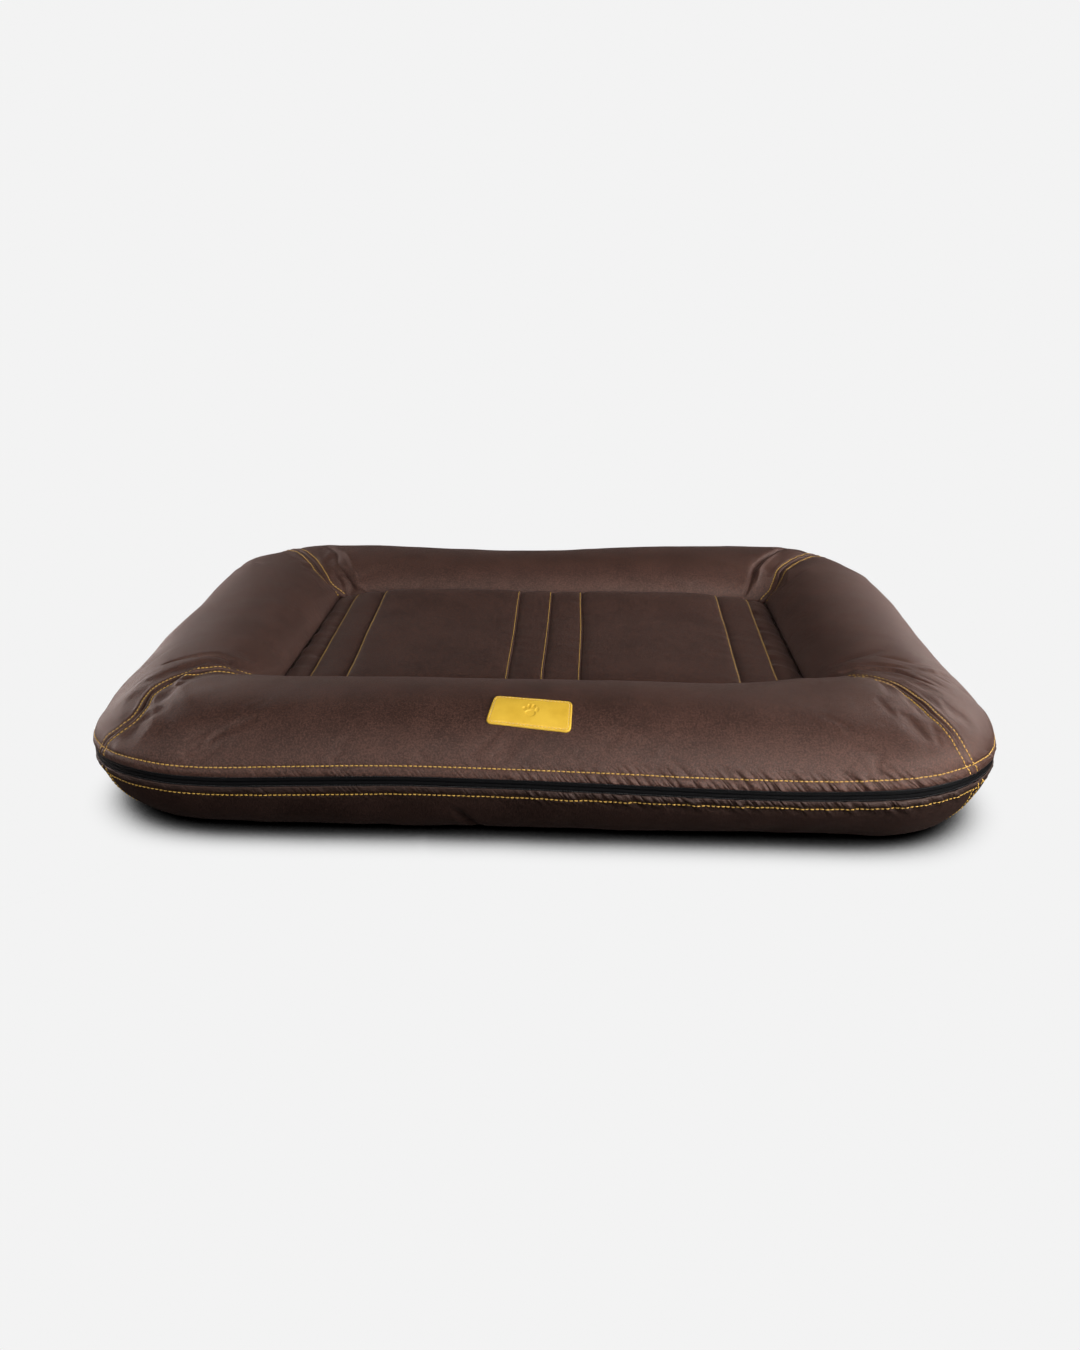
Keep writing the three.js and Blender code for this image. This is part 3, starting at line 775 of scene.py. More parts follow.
def pucker_relief(n, along, across, slant):
    """Height of the small creases beside the zip, strongest along the right half of the front."""
    spot = n.add("CombineXYZ")
    n.link(n.math("DIVIDE", n.minus(along, n.times(across, slant)), PUCKER_PITCH), spot.inputs[0])
    n.link(n.math("DIVIDE", across, PUCKER_LENGTH), spot.inputs[1])
    waves = n.math("ABSOLUTE", n.minus(n.noise(spot.outputs[0], 1.0, 1.0, 0.6), 0.5))
    near = n.minus(1.0, n.math("DIVIDE", across, PUCKER_REACH), clamp=True)
    off = n.math("DIVIDE", n.minus(along, PUCKER_MIDDLE), PUCKER_SPREAD)
    right = n.math("EXPONENT", n.times(n.times(off, off), -1.0))
    strong = n.plus(n.times(right, 0.8), 0.25)
    return n.times(n.times(n.times(waves, 3.0), near), strong)


def plied(name, colour, roughness, *stops, scale=2400, relief=0.1 * MM, strength=0.7, **sockets):
    """Sewing thread: twisted plies, lighter where they bulge."""
    made, n, shader = material(name, colour, roughness, **sockets)
    ply = n.noise(n.space(), scale, 1.0)
    n.link(n.ramp(ply, *stops), shader.inputs["Base Color"])
    n.link(n.bump(ply, relief, strength), shader.inputs["Normal"])
    return made


def zip_tape_weave():
    """Woven zip tape: fine ribs along it and a tighter rib across."""
    made, n, shader = material("zip_tape_weave", (0.003, 0.003, 0.0035), 0.6, Specular_IOR_Level=0.10)
    along, across, _ = n.parts(n.weave_place())
    weave = n.plus(n.times(n.wave(across, 0.75 * MM), 0.5), n.times(n.wave(along, 1.3 * MM), 0.35))
    tone = n.plus(n.times(weave, 0.25), n.noise(n.space(), 900))
    stops = (0.25, (0.0015, 0.0015, 0.0018)), (0.85, (0.006, 0.006, 0.007))
    n.link(n.ramp(tone, *stops), shader.inputs["Base Color"])
    n.link(n.bump(weave, 0.22 * MM, 0.8), shader.inputs["Normal"])
    return made


def nylon():
    made, n, shader = material("nylon_coil", (0.006, 0.006, 0.007), 0.32, Specular_IOR_Level=0.55)
    speck = n.noise(n.space(), 700)
    n.link(n.plus(n.times(speck, 0.2), 0.24), shader.inputs["Roughness"])
    stops = (0.3, (0.005, 0.005, 0.006)), (0.8, (0.014, 0.014, 0.015))
    n.link(n.ramp(speck, *stops), shader.inputs["Base Color"])
    return made


def enamel():
    """Black enamel over cast metal, lighter on its sharp edges."""
    made, n, shader = material("black_enamel", (0.012, 0.012, 0.013), 0.3, Metallic=0.35)
    speck = n.noise(n.space(), 1400, 3.0)
    sharp_edges = n.times(n.minus(n.add("NewGeometry").outputs["Pointiness"], 0.53), 9.0)
    tone = n.plus(sharp_edges, n.times(speck, 0.35))
    stops = (0.30, (0.010, 0.010, 0.011)), (0.75, (0.05, 0.05, 0.052)), (0.95, (0.22, 0.21, 0.20))
    n.link(n.ramp(tone, *stops), shader.inputs["Base Color"])
    n.link(n.plus(n.times(speck, 0.25), 0.2), shader.inputs["Roughness"])
    n.link(n.bump(speck, 0.05 * MM, 0.4), shader.inputs["Normal"])
    return made


def leather():
    """Imitation leather with a fine pebbled grain."""
    made, n, shader = material("yellow_leather", (0.92, 0.58, 0.055), 0.46, Specular_IOR_Level=0.45)
    space = n.space()
    cells = n.add("TexVoronoi", Scale=1500.0, feature="DISTANCE_TO_EDGE")
    n.link(space, cells.inputs["Vector"])
    pebble = n.math("MINIMUM", n.times(cells.outputs["Distance"], 4.0), 1.0)
    cloudy = n.noise(space, 60, 3.0)
    tone = n.plus(n.times(cloudy, 0.8), n.times(pebble, 0.12))
    stops = (0.25, (0.78, 0.46, 0.036)), (0.60, (0.90, 0.57, 0.058))
    n.link(n.ramp(tone, *stops), shader.inputs["Base Color"])
    n.link(n.plus(n.times(cloudy, 0.18), 0.38), shader.inputs["Roughness"])
    n.link(n.bump(pebble, 0.06 * MM, 0.5), shader.inputs["Normal"])
    return made


BROWN = (0.0560, 0.0256, 0.0187)
OFF_WHITE = (0.66, 0.62, 0.54)
COVER = woven("cover_satin", BROWN, 0.50, 0.08, puckered=-0.9)
PANEL = woven("panel_satin", shade(BROWN, 0.88), 0.54, 0.05, mottle=0.75, grain_scale=430)
# The border and underside take the cover's brown darkened to a third: painted shade, for cloth that faces
# down towards the floor.
SHADED_BASE = woven("base_satin", shade(BROWN, 0.33), 0.52, 0.02, puckered=0.8)
LINER = woven("liner", OFF_WHITE, 0.85, 0.2, twill=0.9 * MM, mottle=0.12, cloud=0.12, tint=(1, 1, 1),
              placed=False)
THREAD = plied("golden_thread", (0.66, 0.40, 0.10), 0.48,
               (0.3, (0.46, 0.25, 0.035)), (0.55, (0.72, 0.43, 0.075)), (0.8, (0.90, 0.62, 0.17)),
               scale=2600, relief=0.12 * MM, strength=0.8,
               Sheen_Weight=0.12, Sheen_Roughness=0.4, Sheen_Tint=(1, 0.85, 0.5, 1))
DARK_THREAD = plied("zip_thread", (0.07, 0.07, 0.075), 0.6,
                    (0.3, (0.04, 0.04, 0.043)), (0.75, (0.12, 0.12, 0.125)))
PALE_THREAD = plied("label_thread", (0.84, 0.62, 0.20), 0.5,
                    (0.3, (0.66, 0.42, 0.08)), (0.75, (0.92, 0.74, 0.36)),
                    scale=2600, Sheen_Weight=0.2)
TAPE = zip_tape_weave()
COIL = nylon()
ENAMEL = enamel()
LEATHER = leather()


def finish_piece(piece, finish, body, slot, *nodes):
    piece.data.materials.clear()
    piece.data.materials.append(finish)
    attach(piece, body)
    if nodes:
        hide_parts(*nodes)


# ---------------------------------------------------------------- stitches
STATIONS = np.array([-0.5, -0.38, -0.18, 0, 0.18, 0.38, 0.5])  # places along a stitch, in its lengths
HEIGHTS = np.array([-1.0, 0.1, 0.6, 0.75, 0.6, 0.1, -1.0])  # the thread's heights there, in radii
GIRTHS = np.array([0.45, 0.9, 1.0, 1.0, 1.0, 0.9, 0.45])
THREAD_SIDES = 6
THREAD_STEP = 1.5 * MM  # between the points of a line that is sewn


def read_line(data, run, where):
    return np.stack([np.interp(where, run, column) for column in data.T], -1)


def stitches(name, path, normals, pitch=STITCH_PITCH, radius=THREAD_RADIUS, sink=0.12 * MM, share=0.86):
    """A row of thread stitches along a path: each one dips into the cloth at both ends."""
    run = run_along(path)
    count = max(int(run[-1] / pitch), 1)
    rng = np.random.default_rng(len(path))
    centre = (np.arange(count) + 0.5) * run[-1] / count
    length = share * run[-1] / count * (1 + rng.uniform(-0.05, 0.05, count))
    where = centre[:, None] + length[:, None] * STATIONS
    spots, up = read_line(path, run, where), unit(read_line(normals, run, where))
    side = np.cross(unit(np.gradient(spots, axis=1)), up)
    skew = rng.uniform(-0.12, 0.12, count) * MM
    spots = spots + up * (radius * HEIGHTS - sink)[:, None] + side * (skew[:, None] * STATIONS * 2)[..., None]
    turns = np.arange(THREAD_SIDES) * 2 * np.pi / THREAD_SIDES
    ring = side[:, :, None] * np.cos(turns)[:, None] + up[:, :, None] * np.sin(turns)[:, None]
    points = spots[:, :, None] + ring * (radius * GIRTHS)[:, None, None]
    one = loft_faces(len(STATIONS), THREAD_SIDES)
    size = len(STATIONS) * THREAD_SIDES
    faces = [[v + c * size for v in face] for c in range(count) for face in one]
    return turn_out(new_piece(name, points, faces))


def thread_wander(s, seed, size=0.35 * MM):
    return size * noise2(s / 0.05, 0.5, seed) + 0.12 * MM * noise2(s / 0.009, 1.5, seed)


def sew_round(name, place, across, body, seed):
    u = np.arange(0, ROUND, THREAD_STEP)
    path, normals = place(u, across + thread_wander(u, seed))
    finish_piece(stitches(name, path, normals), THREAD, body, "cover_fabric")


def sew_corners():
    """Two rows of stitches beside each corner seam, over the rim and on under the zip."""
    for k in range(4):
        corner = f"{SIDE_NAMES[k - 1]}_{SIDE_NAMES[k]}"
        over = np.arange(1.0 * MM, SECTION - 5 * MM, THREAD_STEP)
        under = np.arange(1.0 * MM, BORDER_LENGTH * 0.86, THREAD_STEP)
        for word, side in (("inner", -1), ("outer", 1)):
            away = side * SEAM_ROWS[k] * np.interp(over, ACROSS, SEAM_SPREAD[k])
            path, normals = on_rim(SEAM_U[k] + away + thread_wander(over, 90 + 2 * k + side), over)
            row = stitches(f"rim_seam_{corner}_{word}", path, normals)
            finish_piece(row, THREAD, "top_cover", "cover_fabric")
            away = side * SEAM_ROWS[k] * SEAM_SPREAD[k][0]
            path, normals = on_border(SEAM_U[k] + away + thread_wander(under, 80 + 2 * k + side), under)
            row = stitches(f"base_seam_{corner}_{word}", path, normals)
            finish_piece(row, THREAD, "base_cover", "base_fabric")


# ---------------------------------------------------------------- covers
SEAM_GAP = 0.12 * MM  # from each side's last column to its corner seam


def side_columns(k):
    """The ring's columns that belong to a side, with its ends exactly on the corner seams."""
    first = int(math.ceil(SEAM_U[k] / ROUND * FINE_COLUMNS - 1e-6))
    last = int(math.floor(SEAM_U[k + 1] / ROUND * FINE_COLUMNS + 1e-6))
    u = np.arange(first, last + 1) * ROUND / FINE_COLUMNS
    between = u[(u > SEAM_U[k] + 2 * SEAM_GAP) & (u < SEAM_U[k + 1] - 2 * SEAM_GAP)]
    return np.concatenate([[SEAM_U[k] + SEAM_GAP], between, [SEAM_U[k + 1] - SEAM_GAP]])


def ring_panel(name, place, u, rows):
    """A panel of the rim or of the border, and the points of its face."""
    uu, aa = np.meshgrid(u, rows, indexing="ij")
    grid, _ = place(uu, aa)
    return cloth_shell(name, grid, grid - grid_normals(grid) * FABRIC, np.stack([uu, aa], -1)), grid


def covers():
    for k, side in enumerate(SIDE_NAMES):
        u = side_columns(k)
        panel, _ = ring_panel(f"rim_cover_{side}_cloth", on_rim, u, ACROSS)
        finish_piece(panel, COVER, "top_cover", "cover_fabric", f"rim_cover_{side}")
        border, grid = ring_panel(f"base_border_{side}_cloth", on_border, u, BORDER_ACROSS[::-1])
        finish_piece(border, SHADED_BASE, "base_cover", "base_fabric", f"base_border_{side}")


PANEL_STEP = 6 * MM
PANEL_RINGS = 40
PANEL_LIFT = 0.25 * MM


def base_panel():
    """The underside, in rings from the border's inner edge to the middle."""
    u = np.arange(0, ROUND, PANEL_STEP)
    outer, inner = plan(u)
    edge = outer + (inner - outer) * (FLOOR_INSET + 0.5 * MM) / RIM_WIDTH
    xy = edge[:, None] * np.linspace(1, 0.02, PANEL_RINGS)[:, None]
    z = np.abs(PANEL_LIFT + PANEL_LIFT * noise2(xy[..., 0] / 0.05, xy[..., 1] / 0.05, 7))
    grid = np.concatenate([xy, z[..., None]], -1)
    n, m = grid.shape[:2]
    rim = np.arange(n) * m
    after = np.roll(rim, -1)
    walls = [np.stack([rim, after, after + n * m, rim + n * m], -1)]
    sheets = [grid_faces(n, m, 0, True, True), grid_faces(n, m, n * m, False, True)]
    hub = rim + m - 1
    faces = np.concatenate(sheets + walls).tolist() + [hub.tolist(), (hub + n * m)[::-1].tolist()]
    points = np.array([grid, grid + [0, 0, FABRIC]])
    panel = turn_out(new_piece("base_panel_cloth", points, faces, points + FAR_FROM_ZIP))
    finish_piece(panel, SHADED_BASE, "base_cover", "base_fabric", "base_panel")


# ---------------------------------------------------------------- sleeping surface
STRIPS = ["sleep_margin_left", "sleep_band_left", "sleep_panel_left", "sleep_band_centre_left",
          "sleep_band_centre_right", "sleep_panel_right", "sleep_band_right", "sleep_margin_right"]
LAST_STRIP = len(STRIPS) - 1
LAP = 2.2 * MM  # how far a lapped edge reaches past its row of stitches
BUTT = 0.5 * MM  # how far an edge that lies underneath stays from that row
UNDER_RIM = 2.4 * MM  # the strips' outer edges go this far under the rim
OVER_FROM_RIGHT = (0, 1)  # at these seams the strip on the right lies on top; elsewhere the left one does
STRIP_PITCH, STRIP_THREAD = 3.6 * MM, 0.36 * MM
STRIP_STEP = 2.2 * MM
STRIP_EDGE = np.array([0, 0.25, 0.6, 1.1, 1.8, 2.6, 3.6]) * MM  # columns close to a strip's edges
STRIP_MIDDLE = 4.6 * MM  # where its even columns start
STRIP_END = 20 * MM  # the stretch at each end that has closer rows
CROWNS = (4.6 * MM, 3.4 * MM)  # how high the panels and the bands bulge
CREASES = (1.98 * MM, 0.405 * MM)  # of the margins and of the other strips
SEAM_BOW = [7, 7, 3, 0, -2, -7, -4]  # how far each seam bends sideways at the front, in millimetres


def falling(distance, reach):
    """1 at an edge, and less the further away."""
    return np.exp(-np.maximum(distance, 0) / reach)


def sleep_height(x, y):
    fall_x = 1 - np.abs(np.clip(x / WELL_X, -1, 1)) ** 7
    fall_y = 1 - falling(WELL_Y - np.abs(y), 10 * MM)
    plump = 8.5 * MM * bump(np.maximum(WELL_Y - 20 * MM - y, 0), 0, 60 * MM)
    swell = 1.5 * MM * noise2(x / 0.11 + 9, y / 0.10 + 4, 12) + 0.5 * MM * noise2(x / 0.045, y / 0.06, 13)
    return WELL_SEAM + (SLEEP_RISE + swell + plump) * fall_x * fall_y


def seam_line(y, k):
    """The seams aren't quite straight."""
    forward = 1 - smooth(-WELL_Y, 0.6 * WELL_Y, y)
    return SEAMS_X[k] + SEAM_BOW[k] * MM * forward + 1.6 * MM * noise2(y / 0.12 + 5 * k, 0.5, 33)


def strip_surface(k, x, y, from_x, to_x):
    """One strip's top: its share of the padding, its crown and its creases."""
    edge = np.minimum(x - from_x, to_x - x)
    end = WELL_Y - np.abs(y)
    crown = CROWNS[0] if (to_x - from_x).mean() > 0.1 else CROWNS[1]
    z = sleep_height(x, y) + crown * (1 - falling(edge, 8 * MM)) - 1.0 * MM * falling(end, 5 * MM)
    creases = noise2(x / (26 * MM) + 7 * k, (y + 0.5 * x) / (11 * MM), 51 + k)
    strength = CREASES[0] if k in (0, LAST_STRIP) else CREASES[1]
    z = z + strength * creases * falling(edge, 18 * MM)
    ends = noise2(x / (10 * MM) + 3, y / (30 * MM), 64 + k)
    return z + 0.55 * MM * ends * falling(end - 2 * MM, 16 * MM)


def strip_grid(k):
    """The top of a strip, with its edges over or under its neighbours'."""
    left_over = k > 0 and (k - 1) in OVER_FROM_RIGHT
    right_over = k < LAST_STRIP and k not in OVER_FROM_RIGHT
    end, bend = WELL_Y + UNDER_RIM, WELL_Y - STRIP_END
    ends = np.linspace(bend, end, 13)[1:]
    y = np.concatenate([-ends[::-1], np.linspace(-bend, bend, 92), ends])
    reach = np.full_like(y, WELL_X + UNDER_RIM)
    low = seam_line(y, k - 1) if k > 0 else -reach
    high = seam_line(y, k) if k < LAST_STRIP else reach
    from_x = low + (-LAP if left_over else BUTT)
    to_x = high + (LAP if right_over else -BUTT)
    columns = max(int((to_x - from_x).mean() / STRIP_STEP), 12)
    share = np.linspace(0, 1, columns)[1:-1, None]
    middle = from_x + STRIP_MIDDLE + (to_x - from_x - 2 * STRIP_MIDDLE) * share
    x = np.concatenate([from_x + STRIP_EDGE[:, None], middle, to_x - STRIP_EDGE[::-1, None]])
    yy = np.broadcast_to(y, x.shape)
    z = strip_surface(k, x, yy, from_x, to_x)
    for over, edge in ((left_over, x - from_x), (right_over, to_x - x)):
        if over:
            z = z + 2.1 * MM * (1 - np.exp(-edge / (0.5 * MM))) * np.exp(-edge / (9 * MM))
            z = z - 0.55 * MM * bump(edge, LAP, 0.9 * MM) - 0.9 * MM * np.exp(-edge / (0.25 * MM))
        else:
            z = z - 2.0 * MM * np.exp(-edge / (3.2 * MM))
    return np.stack([x, yy, z], -1)


def sew_strip(k, top, right_edge):
    """The stitches along seam k, through the strip that lies on top there."""
    x = top[-1, :, 0] - LAP if right_edge else top[0, :, 0] + LAP
    z = np.array([np.interp(x[j], top[:, j, 0], top[:, j, 2]) for j in range(top.shape[1])])
    y = top[0, :, 1]
    path = np.stack([x + thread_wander(y, 21 + k, 0.25 * MM), y, z], -1)
    beside = np.array([MM, 0, 0])
    normals = upward(grid_normals(np.stack([path - beside, path, path + beside]))[1])
    row = stitches(f"sleep_seam_{k + 1}", path[1:-1], normals[1:-1], STRIP_PITCH, STRIP_THREAD)
    finish_piece(row, THREAD, "top_cover", "cover_fabric")


def sleeping_surface():
    grids = [strip_grid(k) for k in range(len(STRIPS))]
    for k, (node, grid) in enumerate(zip(STRIPS, grids)):
        places = grid[..., 1::-1] + FAR_FROM_ZIP
        piece = turn_out(cloth_shell(node + "_cloth", grid, grid - [0, 0, FABRIC], places))
        finish = COVER if k in (0, LAST_STRIP) else PANEL
        finish_piece(piece, finish, "top_cover", "cover_fabric", node)
        if k < LAST_STRIP:
            over_right = k in OVER_FROM_RIGHT
            sew_strip(k, grids[k + 1] if over_right else grid, not over_right)


# ---------------------------------------------------------------- zip
# A tape's outline as (inset, height above the zip's centreline), in millimetres: cloth over its coil.
TAPE_OUTLINE = [(2.6, 9.6), (2.45, 7.0), (2.35, 4.9), (2.25, 4.2), (1.75, 3.6), (1.25, 2.6), (1.15, 1.6),
                (1.45, 0.75), (2.1, 0.30), (2.9, 0.22), (3.4, 0.25), (3.5, 0.9), (3.5, 5.0), (3.5, 9.6)]
ZIP_HALVES = (("upper", "top_cover", 1), ("lower", "base_cover", -1))
TAPE_STEP = 2.0 * MM
TAPE_ENDS = 0.9 * MM  # half the gap between a tape's two ends, at the middle of the back
SEWN_AT = ((2.2, 4.35), (2.2, 4.4))  # the row of stitches on each tape, as on its outline
COIL_ENDS = 22 * MM
COIL_PITCH, COIL_STEPS, COIL_STRAND = 2.0 * MM, 6, 0.42 * MM
COIL_CENTRE, COIL_RADII = (6.5, 1.75), (0.95, 1.0)  # inset and height in millimetres, and how far it turns


def zip_ring(profile, step=TAPE_STEP, ends=TAPE_ENDS):
    """A strip round the bed, open by a hair at the middle of the back."""
    u = BACK_MIDDLE + np.linspace(ends, ROUND - ends, int(ROUND / step))
    outer, inner = plan(u)
    share = profile[:, 0] / RIM_WIDTH
    xy = outer[:, None] + (inner - outer)[:, None] * share[:, None]
    z = ZIP_Z + zip_wave(u)[:, None] + profile[:, 1]
    return np.concatenate([xy, z[..., None]], -1), u


def zip_tape(word, body, sign):
    profile = np.array(TAPE_OUTLINE) * [1, sign] * MM
    sections, u = zip_ring(profile)
    places = np.stack(np.broadcast_arrays(u[:, None], run_along(profile)[None]), -1)
    tape = tube_loft(f"zip_tape_{word}_woven", sections, places=places)
    finish_piece(tape, TAPE, body, "zip_tape", f"zip_tape_{word}")
    line, _ = zip_ring(np.array(SEWN_AT) * [1, sign] * MM, 1.2 * MM, 3 * MM)
    path = line[:, 0]
    outward = unit(np.cross(np.gradient(path, axis=0), [0, 0, 1.0]))
    outward *= np.sign((outward[:, :2] * path[:, :2]).sum(1))[:, None]
    row = stitches(f"zip_sewing_{word}", path, outward, 2.4 * MM, 0.22 * MM, sink=0.0, share=0.7)
    finish_piece(row, DARK_THREAD, body, "zip_tape")


def zip_coil(word, body, sign):
    """A coil is one turned strand: out round the edge, back behind the tape."""
    length = ROUND - 2 * COIL_ENDS
    count = int(length / COIL_PITCH) * COIL_STEPS
    u = BACK_MIDDLE + COIL_ENDS + np.linspace(0, length, count)
    turn = np.arange(count) * 2 * np.pi / COIL_STEPS
    outer, inner = plan(u)
    inset = (COIL_CENTRE[0] + COIL_RADII[0] * np.cos(turn)) * MM
    z = ZIP_Z + sign * (COIL_CENTRE[1] + COIL_RADII[1] * np.sin(turn)) * MM + zip_wave(u)
    centre = np.concatenate([outer + (inner - outer) * (inset / RIM_WIDTH)[:, None], z[:, None]], -1)
    along = unit(np.gradient(centre, axis=0))
    side = unit(np.cross(along, [0, 0, 1.0]))
    up = np.cross(side, along)
    corners = np.arange(4) * np.pi / 2
    ring = side[:, None] * np.cos(corners)[:, None] + up[:, None] * np.sin(corners)[:, None]
    coil = tube_loft(f"zip_coil_{word}_strand", centre[:, None] + ring * COIL_STRAND)
    finish_piece(coil, COIL, body, "zip_coil", f"zip_coil_{word}")


def zips():
    for half in ZIP_HALVES:
        zip_tape(*half)
    for half in ZIP_HALVES:
        zip_coil(*half)


# ---------------------------------------------------------------- label
LABEL_WIDTH, LABEL_HEIGHT, LABEL_CORNER = 84 * MM, 38 * MM, 5.5 * MM
REACH_P, REACH_Q = LABEL_WIDTH / 2 - LABEL_CORNER, LABEL_HEIGHT / 2 - LABEL_CORNER
LABEL_THICK = 1.5 * MM
SEWING_INSET = 2.6 * MM
LABEL_TILT = math.radians(-5.5)
LABEL_PLACE = (FRONT_MIDDLE - 4.3 * MM, 68.4 * MM)


def label_place(p, q):
    """From the label's own p along and q up to the rim's u and distance from the zip."""
    turn_p = p * math.cos(LABEL_TILT) - q * math.sin(LABEL_TILT)
    turn_q = p * math.sin(LABEL_TILT) + q * math.cos(LABEL_TILT)
    return LABEL_PLACE[0] + turn_p, LABEL_PLACE[1] + turn_q


def rounded_distance(p, q):
    """How far inside the label's outline a point is."""
    px, py = np.abs(p) - REACH_P, np.abs(q) - REACH_Q
    outside = np.hypot(np.maximum(px, 0), np.maximum(py, 0)) + np.minimum(np.maximum(px, py), 0)
    return LABEL_CORNER - outside


def rounded_corners(p, q):
    """Draws the corners of a rectangle of points in to the label's outline."""
    over_p, over_q = np.maximum(np.abs(p) - REACH_P, 0), np.maximum(np.abs(q) - REACH_Q, 0)
    both = np.hypot(over_p, over_q)
    pull = np.where(both > 0, np.maximum(over_p, over_q) / np.maximum(both, 1e-9), 1)
    p = np.sign(p) * (np.minimum(np.abs(p), REACH_P) + over_p * pull)
    return p, np.sign(q) * (np.minimum(np.abs(q), REACH_Q) + over_q * pull)


# A plain paw print, one pad and four toes: place and half sizes, in millimetres.
PAW = [(0, -3.4, 5.2, 4.0), (-6.6, 1.9, 1.9, 2.6), (-2.4, 5.2, 2.0, 2.8), (2.4, 5.2, 2.0, 2.8),
       (6.6, 1.9, 1.9, 2.6)]
PAW_DEPTH, PAW_HEIGHT = 0.6 * MM, 1.0 * MM  # how deep it is pressed in, and how far above the middle


def paw_relief(p, q):
    depth = 0
    for x, y, half_x, half_y in PAW:
        inside = ((p / MM - x) / half_x) ** 2 + ((q / MM - y) / half_y) ** 2
        depth = np.maximum(depth, 1 - smooth(0.75, 1.1, inside))
    return depth


def label_relief(p, q, inside):
    """How far the leather stands out: round edges, a groove for the stitches, the paw and a slow swell."""
    edge = LABEL_THICK * (1 - np.exp(-inside / (0.55 * MM))) ** 0.6
    groove = 0.42 * MM * bump(inside, SEWING_INSET, 0.75 * MM)
    swell = 0.12 * MM * noise2(p / (9 * MM), q / (9 * MM), 8)
    return edge - groove - PAW_DEPTH * paw_relief(p, q - PAW_HEIGHT) + swell


def fitted(grid, a, b):
    """The cubic surface in a and b that comes closest to a grid of points."""
    terms = [a ** i * b ** j for i in range(4) for j in range(4 - i)]
    basis = np.stack([term.ravel() for term in terms], -1)
    weights = np.linalg.lstsq(basis, grid.reshape(-1, 3), rcond=None)[0]
    return (basis @ weights).reshape(grid.shape)


def label():
    columns, rows = np.linspace(-1, 1, 180) * LABEL_WIDTH / 2, np.linspace(-1, 1, 110) * LABEL_HEIGHT / 2
    p, q = rounded_corners(*np.meshgrid(columns, rows, indexing="ij"))
    inside = np.maximum(rounded_distance(p, q), 0)
    ragged = 0.25 * MM * noise2(p / (3 * MM), q / (3 * MM), 3) * (inside < 0.2 * MM)
    base = fitted(on_rim(*label_place(p + ragged, q))[0], p / LABEL_WIDTH, q / LABEL_HEIGHT)
    normal = upward(grid_normals(base))
    grid = base + normal * (label_relief(p, q, inside) + 0.15 * MM)[..., None]
    under = base - normal * 0.25 * MM
    piece = turn_out(cloth_shell("label_leather", grid, under, np.stack([p, q], -1)))
    finish_piece(piece, LEATHER, "top_cover", "label_leather", "label_patch")
    sew_label(base + normal * (LABEL_THICK - 0.1 * MM), normal, columns, rows)


def sew_label(surface, normal, columns, rows):
    """A row of stitches just inside the label's outline."""
    radius = LABEL_CORNER - SEWING_INSET
    outline = []
    for k, (p, q) in enumerate(((1, -1), (1, 1), (-1, 1), (-1, -1))):
        turn = np.linspace((k - 1) * np.pi / 2, k * np.pi / 2, 9)
        outline += list(zip(p * REACH_P + radius * np.cos(turn), q * REACH_Q + radius * np.sin(turn)))
    outline = np.array(outline + outline[:1])
    run = run_along(outline)
    p, q = read_line(outline, run, np.linspace(0, run[-1], 400)).T
    i = np.interp(p, columns, np.arange(len(columns))).round().astype(int)
    j = np.interp(q, rows, np.arange(len(rows))).round().astype(int)
    row = stitches("label_sewing", surface[i, j], normal[i, j], 3.3 * MM, 0.34 * MM, share=0.72)
    finish_piece(row, PALE_THREAD, "top_cover", "label_leather")


# ---------------------------------------------------------------- inserts, seen when the covers are lifted
PAD_COLUMNS, PAD_ROWS, PAD_END = 150, 56, 10  # sections along a rim pad, points in each, sections in an end
PAD_FROM, PAD_TO = 13 * MM, 12 * MM  # how far a rim pad stays from the outer and the inner edge of the rim
PAD_GAP = 2.2 * MM  # how far each end stops short of the corner seam


def boxy(wave, power):
    """A sine or cosine drawn out towards a square wave."""
    return np.sign(wave) * np.abs(wave) ** power


def rim_insert(k, side):
    low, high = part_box(f"rim_insert_{side}")
    turn = np.linspace(0, 2 * np.pi, PAD_ROWS, endpoint=False)
    c, s = np.cos(turn), np.sin(turn)
    u = np.linspace(SEAM_U[k], SEAM_U[k + 1], PAD_COLUMNS)[:, None]
    order = np.arange(PAD_COLUMNS)[:, None]
    from_end = np.clip(np.minimum(order, order[::-1]) / PAD_END, 0, 1)
    end = np.sqrt(1 - (1 - from_end) ** 2)
    grown = 0.30 + 0.70 * end
    inset_middle, inset_half = 0.5 * (RIM_WIDTH + PAD_FROM - PAD_TO), 0.5 * (RIM_WIDTH - PAD_FROM - PAD_TO)
    z_middle, z_half = 0.5 * (high.z + low.z) - 3 * MM, 0.5 * (high.z - low.z) - 5 * MM
    inset = inset_middle + inset_half * boxy(c, 0.75) * (0.93 + 0.07 * grown)
    lumps = 1.0 * MM * noise2(u / 0.05, turn * 2, 23) * np.abs(s) * end
    z = z_middle + z_half * boxy(s, 0.8) * grown + lumps
    outer, inner = plan(u)
    xy = outer + (inner - outer) * (inset / RIM_WIDTH)[..., None]
    sections = np.concatenate([xy, z[..., None]], -1)
    middle = sections.mean(1)
    gap = PAD_GAP * unit(middle[-1] - middle[0])
    sections[:PAD_END] += gap
    sections[-PAD_END:] -= gap
    pad = tube_loft(f"rim_insert_{side}_pad", sections)
    finish_piece(pad, LINER, "inner_cushion", "liner_fabric", f"rim_insert_{side}")


